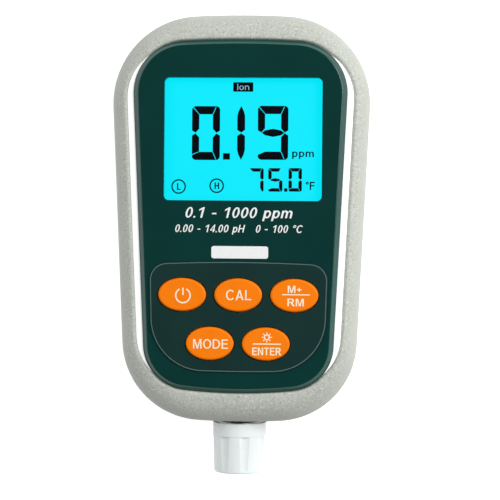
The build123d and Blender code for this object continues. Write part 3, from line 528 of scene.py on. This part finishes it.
def closed_piece(name, form, finish, body):
    """A piece from a closed form, its faces turned outwards."""
    bmesh.ops.recalc_face_normals(form, faces=form.faces)
    mesh = bpy.data.meshes.new(name)
    form.to_mesh(mesh)
    form.free()
    return piece_from(name, mesh, finish, body)


def arc_points(cx, cy, rx, ry, start, stop, steps=14):
    """Points along part of an ellipse, from one angle to another in degrees."""
    points = []
    for step in range(steps + 1):
        angle = math.radians(start + (stop - start) * step / steps)
        points.append((cx + rx * math.cos(angle), cy + ry * math.sin(angle)))
    return points


def oval(cx, cy, rx, ry):
    """A whole ellipse as a closed outline."""
    return arc_points(cx, cy, rx, ry, 0, 360, 36)[:-1]


def glyph(letter, w):
    """Width and closed outlines of one character. Capitals are 1 high; w is the stroke."""
    if letter == "A":
        wide, slant = 0.70, 1.1 * w
        k = wide / 2 - 0.5 * w
        low, bar = 0.24, 0.24 + 0.85 * w
        peak = (wide / 2, (wide / 2 - slant) / k)
        hole = [(k * bar + slant, bar), (wide - k * bar - slant, bar), peak]
        return wide, [[
            (0, 0), (slant, 0), (slant + k * low, low), (wide - slant - k * low, low),
            (wide - slant, 0), (wide, 0), (wide - k, 1), (k, 1),
        ], hole]
    if letter == "C":
        outer = arc_points(0.39, 0.5, 0.39, 0.515, 42, 318, 30)
        inner = arc_points(0.39, 0.5, 0.39 - w, 0.515 - 0.92 * w, 318, 42, 30)
        return 0.71, [outer + inner]
    if letter == "D":
        outer = [(0, 0)] + arc_points(0.29, 0.5, 0.41, 0.5, -90, 90, 20) + [(0, 1)]
        bowl = arc_points(0.28, 0.5, 0.42 - w, 0.5 - 0.9 * w, -90, 90, 20)
        return 0.70, [outer, [(w, 0.9 * w)] + bowl + [(w, 1 - 0.9 * w)]]
    if letter in "EF":
        foot = [(0, 0), (w, 0)]
        if letter == "E":
            foot = [(0, 0), (0.62, 0), (0.62, 0.9 * w), (w, 0.9 * w)]
        mid = 0.52 - 0.45 * w
        return 0.60, [foot + [
            (w, mid), (0.56, mid), (0.56, mid + 0.9 * w), (w, mid + 0.9 * w), (w, 1 - 0.9 * w),
            (0.60, 1 - 0.9 * w), (0.60, 1), (0, 1),
        ]]
    if letter == "H":
        low, high = 0.5 - 0.42 * w, 0.5 + 0.48 * w
        return 0.68, [[
            (0, 0), (w, 0), (w, low), (0.68 - w, low), (0.68 - w, 0), (0.68, 0), (0.68, 1),
            (0.68 - w, 1), (0.68 - w, high), (w, high), (w, 1), (0, 1),
        ]]
    if letter == "I":
        return w, [[(0, 0), (w, 0), (w, 1), (0, 1)]]
    if letter == "L":
        return 0.52, [[(0, 0), (0.54, 0), (0.54, 0.9 * w), (w, 0.9 * w), (w, 1), (0, 1)]]
    if letter == "M":
        wide = 0.80
        return wide, [[
            (0, 0), (0.92 * w, 0), (0.92 * w, 0.80), (wide / 2 - 0.5 * w, 0),
            (wide / 2 + 0.5 * w, 0), (wide - 0.92 * w, 0.80), (wide - 0.92 * w, 0), (wide, 0),
            (wide, 1), (wide - 1.35 * w, 1), (wide / 2, 0.24), (1.35 * w, 1), (0, 1),
        ]]
    if letter == "N":
        wide = 0.68
        return wide, [[
            (0, 0), (w, 0), (w, 0.72), (wide - w, 0), (wide, 0), (wide, 1), (wide - w, 1),
            (wide - w, 0.28), (w, 1), (0, 1),
        ]]
    if letter == "O":
        return 0.78, [oval(0.39, 0.5, 0.39, 0.515), oval(0.39, 0.5, 0.39 - w, 0.515 - 0.92 * w)]
    if letter == "R":
        outer = [(0, 0), (w, 0), (w, 0.42), (0.32, 0.42), (0.53, 0), (0.53 + 1.15 * w, 0), (0.50, 0.45)]
        outer += arc_points(0.38, 0.715, 0.275, 0.285, -62, 90) + [(0, 1)]
        low = 0.42 + 0.9 * w
        high = 1 - 0.9 * w
        bowl = arc_points(0.375, (low + high) / 2, 0.27 - w, (high - low) / 2, -90, 90)
        return 0.68, [outer, [(w, low)] + bowl + [(w, high)]]
    if letter == "T":
        return 0.62, [[
            (0.31 - w / 2, 0), (0.31 + w / 2, 0), (0.31 + w / 2, 1 - 0.9 * w),
            (0.62, 1 - 0.9 * w), (0.62, 1), (0, 1), (0, 1 - 0.9 * w),
            (0.31 - w / 2, 1 - 0.9 * w),
        ]]
    if letter == "0":
        return 0.54, [oval(0.27, 0.5, 0.27, 0.51), oval(0.27, 0.5, 0.27 - w, 0.51 - 0.85 * w)]
    if letter == "1":
        return 0.54, [[
            (0.27, 0), (0.27 + w, 0), (0.27 + w, 1), (0.27 + 0.25 * w, 1), (0.05, 0.80),
            (0.05, 0.80 - 1.1 * w), (0.27, 0.80),
        ]]
    if letter == "4":
        low, bar = 0.22, 0.22 + 0.85 * w
        return 0.56, [[
            (0.34, 0), (0.34 + w, 0), (0.34 + w, low), (0.57, low), (0.57, bar), (0.34 + w, bar),
            (0.34 + w, 1), (0.36, 1), (0, bar), (0, low), (0.34, low),
        ], [(0.13, bar), (0.34, bar), (0.34, 0.78)]]
    if letter == "+":
        low, high, half = 0.18, 0.70, 0.425 * w
        left, right = 0.26 - half, 0.26 + half
        under, over = low + left, low + right
        return 0.52, [[
            (left, low), (right, low), (right, under), (0.52, under), (0.52, over), (right, over),
            (right, high), (left, high), (left, over), (0, over), (0, under), (left, under),
        ]]
    if letter == ".":
        return w, [[(0, 0), (w, 0), (w, w), (0, w)]]
    if letter == "-":
        return 0.34, [[(0, 0.33), (0.34, 0.33), (0.34, 0.33 + 0.9 * w), (0, 0.33 + 0.9 * w)]]
    if letter == "°":
        return 0.36, [oval(0.18, 0.84, 0.18, 0.18), oval(0.18, 0.84, 0.18 - 0.7 * w, 0.18 - 0.7 * w)]
    if letter == "p":
        outer = [(0, -0.28), (w, -0.28), (w, 0.05)] + arc_points(0.28, 0.36, 0.27, 0.375, -118, 118, 26)
        outer += [(w, 0.64), (w, 0.72), (0, 0.72)]
        return 0.55, [outer, oval(0.28, 0.36, 0.27 - w, 0.375 - 0.9 * w)]
    if letter == "o":
        return 0.56, [oval(0.28, 0.36, 0.28, 0.375), oval(0.28, 0.36, 0.28 - w, 0.375 - 0.9 * w)]
    if letter == "n":
        outer = [(0, 0), (w, 0)] + arc_points(0.27, 0.42, 0.27 - w, 0.30 - 0.85 * w, 180, 0)
        outer += [(0.54 - w, 0), (0.54, 0)] + arc_points(0.29, 0.44, 0.25, 0.295, 0, 112)
        return 0.54, [outer + [(w, 0.63), (w, 0.72), (0, 0.72)]]
    if letter == "m":
        first = arc_points(0.245, 0.45, 0.245 - w, 0.27 - 0.85 * w, 180, 0)
        second = arc_points(0.245 + 0.49 - w, 0.45, 0.245 - w, 0.27 - 0.85 * w, 180, 0)
        right = 0.98 - w
        outer = [(0, 0), (w, 0)] + first + [(0.49 - w, 0), (0.49, 0)] + second
        outer += [(right - w, 0), (right, 0)] + arc_points(right - 0.24, 0.46, 0.24, 0.275, 0, 105)
        outer += [(0.49, 0.60)] + arc_points(0.27, 0.46, 0.22, 0.275, 60, 112)
        return right, [outer + [(w, 0.63), (w, 0.72), (0, 0.72)]]
    return 0.30, []


def lettering(text, height, weight, slant):
    """Thin raised lettering centred on the origin, its capitals of a height in millimetres."""
    curve = bpy.data.curves.new("lettering", "CURVE")
    curve.dimensions = "2D"
    curve.fill_mode = "BOTH"
    pen = 0.0
    for letter in text:
        advance, outlines = glyph(letter, weight)
        for outline in outlines:
            spline = curve.splines.new("POLY")
            spline.points.add(len(outline) - 1)
            for point, (x, y) in zip(spline.points, outline):
                point.co = (pen + x + slant * y, y, 0, 1)
            spline.use_cyclic_u = True
        pen += advance + LETTER_GAP
    curve.extrude = PRINT_THICKNESS / 2 / height
    carrier = bpy.data.objects.new("lettering", curve)
    bpy.context.scene.collection.objects.link(carrier)
    bpy.context.view_layer.update()
    graph = bpy.context.evaluated_depsgraph_get()
    mesh = bpy.data.meshes.new_from_object(carrier.evaluated_get(graph))
    bpy.data.objects.remove(carrier)
    bpy.data.curves.remove(curve)
    xs = [vertex.co.x for vertex in mesh.vertices]
    mesh.transform(Matrix.Translation((-(min(xs) + max(xs)) / 2, -0.5, 0)))
    mesh.transform(Matrix.Diagonal((height * MM, height * MM, height * MM, 1)))
    form = bmesh.new()
    form.from_mesh(mesh)
    bmesh.ops.remove_doubles(form, verts=form.verts, dist=WELD / 10)
    bmesh.ops.recalc_face_normals(form, faces=form.faces)
    form.to_mesh(mesh)
    form.free()
    return mesh


def words(
    name, text, x, y, z, height, finish, body, slot_name, width=None, weight=0.15, slant=0.0,
):
    """Lettering at a place on a surface. width, if given, sets its full width."""
    mesh = lettering(text, height, weight, slant)
    if width is not None:
        xs = [vertex.co.x for vertex in mesh.vertices]
        mesh.transform(Matrix.Diagonal((width * MM / (max(xs) - min(xs)), 1, 1, 1)))
    lift = z + PRINT_LIFT + PRINT_THICKNESS / 2
    mesh.transform(Matrix.Translation((x * MM, y * MM, lift * MM)))
    return piece_from(name, mesh, finish, body)


def box_outline(x0, y0, x1, y1, corner=0.0):
    """Rectangle, counter-clockwise, with square corners or round ones of a radius."""
    if not corner:
        return [(x1, y0), (x1, y1), (x0, y1), (x0, y0)]
    points = []
    for cx, cy, start in (
        (x1 - corner, y0 + corner, -90), (x1 - corner, y1 - corner, 0),
        (x0 + corner, y1 - corner, 90), (x0 + corner, y0 + corner, 180),
    ):
        points += arc_points(cx, cy, corner, corner, start, start + 90, 6)
    return points


def ring_outlines(cx, cy, radius, width, start=0.0, stop=360.0, steps=48):
    """A ring or an arc of a ring, as touching quads, from one angle to another."""
    inner = arc_points(cx, cy, radius - width / 2, radius - width / 2, start, stop, steps)
    outer = arc_points(cx, cy, radius + width / 2, radius + width / 2, start, stop, steps)
    return [[inner[i], outer[i], outer[i + 1], inner[i + 1]] for i in range(steps)]


# Print finishes

def ink(name, colour, roughness=0.5):
    """Screen-printed ink: slightly uneven in tone and height."""
    n = Nodes(name)
    n.colour(n.ramp(n.noise(1200.0, 3.0), [(0.3, shade(colour, 0.95)), (0.7, colour)]))
    n.rough(n.span(n.noise(1800.0, 2.0), 0.3, 0.7, roughness - 0.08, roughness + 0.08))
    n.bump(n.noise(5200.0, 2.0), 0.002)
    n.set(Specular_IOR_Level=0.2)
    return n.material


WHITE_INK = ink("ink_white", linear(243, 246, 245))
CREAM_INK = ink("ink_cream", linear(255, 240, 214))
DIGIT_INK = ink("segment_black", linear(3, 6, 14), 0.35)
TAG_INK = ink("tag_letters", linear(150, 205, 230))
# Painted highlight: a grey line for the light caught along the keypad overlay's raised edge, made with
# the ink finish
EDGE_HIGHLIGHT_PAINT = ink("overlay_edge_highlight", linear(92, 114, 115))

# Display contents
# Places on the face are in millimetres: across from the frame's middle line and along from
# the case's middle, which lies below the display window's.

WINDOW = middle("display_window")
WINDOW_PLACE = 20.2
BODY_Y = WINDOW.y - WINDOW_PLACE
GLASS_TOP = span("lcd_glass")[1].z
DISPLAY_SLOT = "display_glass"

# Which of the seven bars each figure lights: top, upper right, lower right, bottom,
# lower left, upper left, middle
FIGURES = {"0": "abcdef", "5": "afgcd", "7": "abc", "9": "abcdfg"}


def bar_outlines(x0, y0, x1, y1, upright, level, gap):
    """The seven bars of one figure. upright and level are the widths of its two kinds of bar."""
    r = 0.55 * upright
    half = gap / 2
    mid = (y0 + y1) / 2
    tip = upright / 2
    cut = 0.5 * upright
    left, right = x0 + upright, x1 - upright
    low, high = y0 + level, y1 - level
    foot = y0 + level * 0.62
    over, under = mid + half, mid - half
    centre = (x0 + x1) / 2
    belly = 0.3 * level
    belly_left, belly_right = (x0 + left) / 2 + tip, (x1 + right) / 2 - tip

    def corner(cx, cy, start, stop):
        return arc_points(cx, cy, r, r, start, stop, 10)

    return {
        "a": corner(x0 + r, y1 - r, 135 - 60 * half, 90) + [
            (x1 - cut - half, y1), (right - half, high), (left + half, high),
        ],
        "b": [(right + half, high), (x1 - cut + half, y1)] + corner(x1 - r, y1 - r, 90, 0) + [
            (x1, over + tip * 0.6), (x1 - tip, over), (right, over + level / 2),
            (right, high - half),
        ],
        "c": [
            (right, low + half), (right, under - level / 2), (x1 - tip, under),
            (x1, under - tip * 0.6),
        ] + corner(x1 - r, y0 + r, 0, -90) + [(x1 - cut + half, y0), (right + half, low)],
        "d": [(x0 + half, foot)] + corner(x0 + r, y0 + r, 190, 270) + [
            (x1 - cut - half, y0), (right - half, low), (left + half, low),
        ],
        "e": [
            (x0, foot + gap), (x0, under - tip * 0.6), (x0 + tip, under),
            (left, under - level / 2), (left, low + half),
        ],
        "f": corner(x0 + r, y1 - r, 135 + 60 * half, 180) + [
            (x0, over + tip * 0.6), (x0 + tip, over), (left, over + level / 2),
            (left, high - half),
        ],
        "g": [
            (x0 + tip + half, mid), (belly_left, mid + belly), (centre, mid + level / 2),
            (belly_right, mid + belly), (x1 - tip - half, mid), (belly_right, mid - belly),
            (centre, mid - level / 2), (belly_left, mid - belly),
        ],
    }


def lone_bars(x0, y0, x1, y1, gap):
    """The figure one that stands alone: two bars, pointed at both ends."""
    centre, mid = (x0 + x1) / 2, (y0 + y1) / 2
    reach = (x1 - x0) / 2
    upper = [
        (centre, y1), (x0 + reach * 0.3, y1 - reach * 1.4), (x0, y1 - reach * 2.6),
        (x0, mid + gap + reach * 0.6), (centre, mid + gap / 2), (x1, mid + gap + reach * 0.6),
        (x1, y1 - reach * 2.6), (x1 - reach * 0.3, y1 - reach * 1.4),
    ]
    lower = [(x, 2 * mid - y) for x, y in reversed(upper)]
    return [upper, lower]


def display_shape(name, outlines):
    """Dark print on the display's glass."""
    return raised(name, outlines, GLASS_TOP + PRINT_LIFT, DIGIT_INK, "meter")


def figure(name, digit, left, top, right, bottom, upright, level, gap):
    """One seven-bar figure on the display."""
    bars = bar_outlines(left, bottom + BODY_Y, right, top + BODY_Y, upright, level, gap)
    return display_shape(name, [bars[key] for key in FIGURES[digit]])


def dot(name, left, top, right, bottom):
    """A decimal point on the display."""
    return display_shape(name, [box_outline(left, bottom + BODY_Y, right, top + BODY_Y)])


# The width of upright bars, the width of level bars and the gap between bars
LARGE = (1.86, 2.1, 0.18)
SMALL = (0.88, 0.88, 0.12)
figure("reading_units", "0", -12.48, 28.87, -5.23, 14.94, *LARGE)
dot("reading_point", -4.4, 16.73, -2.6, 15.07)
display_shape("reading_tenths", lone_bars(-0.76, 15.0 + BODY_Y, 1.25, 28.97 + BODY_Y, LARGE[2]))
figure("reading_hundredths", "9", 4.56, 29.02, 12.43, 15.09, *LARGE)
figure("temperature_tens", "7", 2.45, 12.89, 6.17, 6.83, *SMALL)
figure("temperature_units", "5", 7.36, 12.93, 11.03, 6.87, *SMALL)
dot("temperature_point", 11.48, 7.75, 12.34, 6.88)
figure("temperature_tenths", "0", 12.6, 12.98, 16.04, 6.92, *SMALL)


def display_words(name, text, x, y, height, **options):
    """Dark lettering on the display's glass."""
    return words(
        name, text, x, y + BODY_Y, GLASS_TOP, height, DIGIT_INK, "meter", DISPLAY_SLOT, **options
    )


display_words("unit_ppm", "ppm", 16.28, 16.82, 1.9, width=5.6)
display_words("unit_degrees", "°F", 18.2, 8.42, 2.1, weight=0.17, width=2.3)

# Mode tag: a dark box with lit letters
display_shape("mode_tag", [box_outline(-1.9, 32.65 + BODY_Y, 3.29, 35.08 + BODY_Y, 0.2)])
TAG_TOP = GLASS_TOP + PRINT_THICKNESS + PRINT_LIFT
words(
    "mode_tag_letters", "Ion", 0.7, 33.88 + BODY_Y, TAG_TOP, 1.6, TAG_INK, "meter", DISPLAY_SLOT,
    weight=0.12, width=3.1,
)

# Two circled letters at the display's foot
for letter, x, y in (("L", -15.84, 8.03), ("H", -5.97, 8.3)):
    display_shape("state_ring_" + letter.lower(), ring_outlines(x, y + BODY_Y, 1.72, 0.36))
    display_words("state_letter_" + letter.lower(), letter, x + 0.05, y, 1.75, weight=0.19)

# Face print

PANEL_TOP = span("face_panel")[1].z


def face_words(name, text, x, y, height, **options):
    """Slanted white lettering on the panel."""
    return words(
        name, text, x, y + BODY_Y, PANEL_TOP, height, WHITE_INK, "meter", "panel_green",
        slant=FACE_SLANT, **options
    )


face_words("range_line", "0.1 - 1000 ppm", 0.02, 1.3, 2.7, weight=0.15, width=27.5)
face_words("range_line_small", "0.00 - 14.00 pH   0 - 100 °C", 0.04, -2.8, 1.95, width=32.8)

raised(
    "badge_plate", [box_outline(-7.0, -10.46 + BODY_Y, 7.6, -7.3 + BODY_Y, 0.6)],
    PANEL_TOP + PRINT_LIFT, WHITE_INK, "meter", BADGE_THICKNESS,
)


def top_outline(node):
    """The outer edge of a node's top face, in order round it, in millimetres."""
    source = nodes[node]
    form = bmesh.new()
    form.from_mesh(source.data)
    form.transform(source.matrix_world)
    bmesh.ops.remove_doubles(form, verts=form.verts, dist=WELD)
    top = max(vertex.co.z for vertex in form.verts)
    flat = {
        face for face in form.faces
        if all(abs(vertex.co.z - top) < LEVEL for vertex in face.verts)
    }
    beside = {}
    for edge in form.edges:
        if len([face for face in edge.link_faces if face in flat]) == 1:
            first, second = edge.verts
            beside.setdefault(first, []).append(second)
            beside.setdefault(second, []).append(first)
    loop = [min(beside, key=lambda vertex: vertex.co.x)]
    step = beside[loop[0]][0]
    while step is not loop[0]:
        loop.append(step)
        step = [vertex for vertex in beside[step] if vertex is not loop[-2]][0]
    points = [Vector((vertex.co.x, vertex.co.y)) / MM for vertex in loop]
    form.free()
    return points


def edge_line(name, node, width, finish):
    """A closed thin line just inside the outer edge of a node's top face."""
    outer = top_outline(node)
    count = len(outer)
    turn = sum(outer[i - 1].cross(outer[i]) for i in range(count))
    inner = []
    for i in range(count):
        along = (outer[(i + 1) % count] - outer[i - 1]).normalized() * math.copysign(width, turn)
        inner.append(outer[i] + Vector((-along.y, along.x)))
    low = span(node)[1].z + PRINT_LIFT
    high = low + PRINT_THICKNESS
    form = bmesh.new()
    rails = []
    for outline, z in ((outer, low), (outer, high), (inner, high), (inner, low)):
        rails.append([form.verts.new(Vector((x, y, z)) * MM) for x, y in outline])
    for near, far in zip(rails, rails[1:] + rails[:1]):
        for i in range(count):
            form.faces.new((near[i - 1], near[i], far[i], far[i - 1]))
    return closed_piece(name, form, finish, "meter")


# Painted highlight along the keypad overlay's raised edge
edge_line("overlay_edge_line", "keypad_overlay", EDGE_LINE_WIDTH, EDGE_HIGHLIGHT_PAINT)

# Key legends

KEY_TOP = span("key_power")[1].z


def legend(name, text, key, dx, dy, height, **options):
    """Lettering on a key, placed from the key's own centre."""
    centre = middle("key_" + key)
    return words(
        name, text, centre.x + dx, centre.y + dy, KEY_TOP, height, CREAM_INK, key + "_key",
        "key_orange", **options
    )


def legend_shape(name, outlines, key):
    """Drawn print on a key."""
    return raised(name, outlines, KEY_TOP + PRINT_LIFT, CREAM_INK, key + "_key")


power = middle("key_power")
power_x, power_y = power.x + 0.26, power.y - 0.25
legend_shape("legend_power_ring", ring_outlines(power_x, power_y, 1.85, 0.36, 118, 422), "power")
power_bar = box_outline(power_x - 0.18, power_y + 0.1, power_x + 0.18, power_y + 2.0, 0.1)
legend_shape("legend_power_bar", [power_bar], "power")
legend("legend_calibrate", "CAL", "calibrate", 0.15, 0.0, 2.6, weight=0.125, width=6.5)
legend("legend_memory_upper", "M+", "memory", 0.1, 1.6, 1.85, weight=0.155, width=3.6)
legend("legend_memory_lower", "RM", "memory", 0.35, -1.75, 1.95, weight=0.155, width=4.2)
legend("legend_mode", "MODE", "mode", 0.28, -0.1, 2.4, weight=0.14, width=9.0)
legend("legend_enter", "ENTER", "enter", 0.27, -1.85, 1.95, weight=0.165, width=7.4)

memory = middle("key_memory")
memory_line = box_outline(memory.x - 3.12, memory.y + 0.06, memory.x + 3.93, memory.y + 0.34)
legend_shape("legend_memory_line", [memory_line], "memory")
enter = middle("key_enter")
enter_line = box_outline(enter.x - 3.37, enter.y - 0.12, enter.x + 3.91, enter.y + 0.18)
legend_shape("legend_enter_line", [enter_line], "enter")
sun_x, sun_y = enter.x + 0.27, enter.y + 1.75
legend_shape("legend_sun_ring", ring_outlines(sun_x, sun_y, 0.62, 0.3), "enter")
SUN_RAYS = 8
rays = []
for index in range(SUN_RAYS):
    angle = 2 * math.pi * index / SUN_RAYS
    along = Vector((math.cos(angle), math.sin(angle)))
    across = Vector((-along.y, along.x)) * 0.13
    near = Vector((sun_x, sun_y)) + along * 0.84
    far = Vector((sun_x, sun_y)) + along * 1.3
    rays.append([near - across, far - across, far + across, near + across])
legend_shape("legend_sun_rays", rays, "enter")

# Floor, lights, camera

def floor():
    """Plain white floor: it takes the shadow from above and is clear from below."""
    mesh = bpy.data.meshes.new("floor")
    corners = [(x * FLOOR_REACH, y * FLOOR_REACH, 0) for x, y in ((-1, -1), (1, -1), (1, 1), (-1, 1))]
    mesh.from_pydata(corners, [], [(0, 1, 2, 3)])
    n = Nodes("floor_white")
    paper = n.ramp(n.noise(40.0, 3.0), [(0.3, 0.86), (0.7, 0.88)])
    n.colour(paper)
    n.set(Roughness=0.9, Specular_IOR_Level=0.1)
    glow = n.add("ShaderNodeEmission")
    glow.inputs["Color"].default_value = (1, 1, 1, 1)
    glow.inputs["Strength"].default_value = FLOOR_GLOW
    both = n.add("ShaderNodeAddShader")
    n.link(n.shader.outputs["BSDF"], both.inputs[0])
    n.link(glow.outputs["Emission"], both.inputs[1])
    path = n.add("ShaderNodeLightPath")
    seen = n.math("MAXIMUM", path.outputs["Is Camera Ray"],
                  n.math("MAXIMUM", path.outputs["Is Glossy Ray"], path.outputs["Is Transmission Ray"]))
    lit = n.add("ShaderNodeMixShader")
    n.link(seen, lit.inputs["Fac"])
    n.link(n.shader.outputs["BSDF"], lit.inputs[1])
    n.link(both.outputs["Shader"], lit.inputs[2])
    clear = n.add("ShaderNodeBsdfTransparent")
    geometry = n.add("ShaderNodeNewGeometry")
    under = n.add("ShaderNodeMixShader")
    n.link(geometry.outputs["Backfacing"], under.inputs["Fac"])
    n.link(lit.outputs["Shader"], under.inputs[1])
    n.link(clear.outputs["BSDF"], under.inputs[2])
    n.link(under.outputs["Shader"], n.output.inputs["Surface"])
    mesh.materials.append(n.material)
    ground = bpy.data.objects.new("floor", mesh)
    ground.location.z = cad_low.z - FLOOR_DROP * MM
    bpy.context.scene.collection.objects.link(ground)


def world():
    """White surroundings to the camera and through clear pieces. Gloss sees a white horizon
    with a window low at each side and a dark ceiling; the rest gets an even soft light."""
    scene_world = bpy.data.worlds.new("surroundings")
    bpy.context.scene.world = scene_world
    scene_world.use_nodes = True
    tree = scene_world.node_tree
    tree.nodes.clear()

    def node(kind, **inputs):
        made = tree.nodes.new(kind)
        for key, value in inputs.items():
            made.inputs[key].default_value = value
        return made

    def join(source, target):
        tree.links.new(source, target)

    def ranged(source, low, high, out_low, out_high):
        limits = {"From Min": low, "From Max": high, "To Min": out_low, "To Max": out_high}
        made = node("ShaderNodeMapRange", **limits)
        join(source, made.inputs["Value"])
        return made.outputs["Result"]

    def maths(operation, first, second=None):
        made = node("ShaderNodeMath")
        made.operation = operation
        join(first, made.inputs[0])
        if second is not None:
            join(second, made.inputs[1])
        return made.outputs["Value"]

    path = node("ShaderNodeLightPath")
    place = node("ShaderNodeTexCoord")
    split = node("ShaderNodeSeparateXYZ")
    join(place.outputs["Generated"], split.inputs["Vector"])
    horizon = ranged(split.outputs["Z"], *HORIZON_BAND, HORIZON_LEVEL, 0.0)
    side = ranged(maths("ABSOLUTE", split.outputs["X"]), *SIDE_BAND, 0.0, SIDE_LEVEL)
    gloss_level = maths("MAXIMUM", horizon, side)
    gloss = node("ShaderNodeBackground")
    join(gloss_level, gloss.inputs["Strength"])
    soft = node("ShaderNodeBackground", Strength=WORLD_LEVEL)
    white = node("ShaderNodeBackground", Strength=1.0)
    for background in (gloss, soft, white):
        background.inputs["Color"].default_value = (1, 1, 1, 1)
    near = node("ShaderNodeMixShader")
    join(path.outputs["Is Glossy Ray"], near.inputs["Fac"])
    join(soft.outputs["Background"], near.inputs[1])
    join(gloss.outputs["Background"], near.inputs[2])
    mixer = node("ShaderNodeMixShader")
    seen = maths("MAXIMUM", path.outputs["Is Camera Ray"], path.outputs["Is Transmission Ray"])
    join(seen, mixer.inputs["Fac"])
    join(near.outputs["Shader"], mixer.inputs[1])
    join(white.outputs["Background"], mixer.inputs[2])
    join(mixer.outputs["Shader"], tree.nodes.new("ShaderNodeOutputWorld").inputs["Surface"])


def lamp(name, place, size, power):
    """Soft rectangular lamp that looks at the middle of the floor under the meter."""
    data = bpy.data.lights.new(name, "AREA")
    data.shape = "RECTANGLE"
    data.size, data.size_y = size
    data.energy = power
    light = bpy.data.objects.new(name, data)
    light.location = place
    light.rotation_euler = (-Vector(place)).to_track_quat("-Z", "Y").to_euler()
    bpy.context.scene.collection.objects.link(light)


def camera():
    """The photograph's camera."""
    origin = Vector((WINDOW.x, WINDOW.y, 0))
    place = (origin + Vector(CAMERA_PLACE)) * MM
    back = (place - (origin + Vector(CAMERA_TARGET)) * MM).normalized()
    up = Vector((-CAMERA_LEAN, 1, 0))
    right = up.cross(back).normalized()
    up = back.cross(right)
    data = bpy.data.cameras.new("camera")
    data.lens = CAMERA_LENS
    data.sensor_width = CAMERA_SENSOR
    data.clip_start = 0.01
    eye = bpy.data.objects.new("camera", data)
    turn = Matrix((right, up, back)).transposed().to_4x4()
    eye.matrix_world = Matrix.Translation(place) @ turn
    bpy.context.scene.collection.objects.link(eye)
    bpy.context.scene.camera = eye


floor()
world()
lamp("key_lamp", *KEY_LAMP)
lamp("fill_lamp", *FILL_LAMP)
camera()
bpy.context.scene.view_settings.view_transform = "Standard"
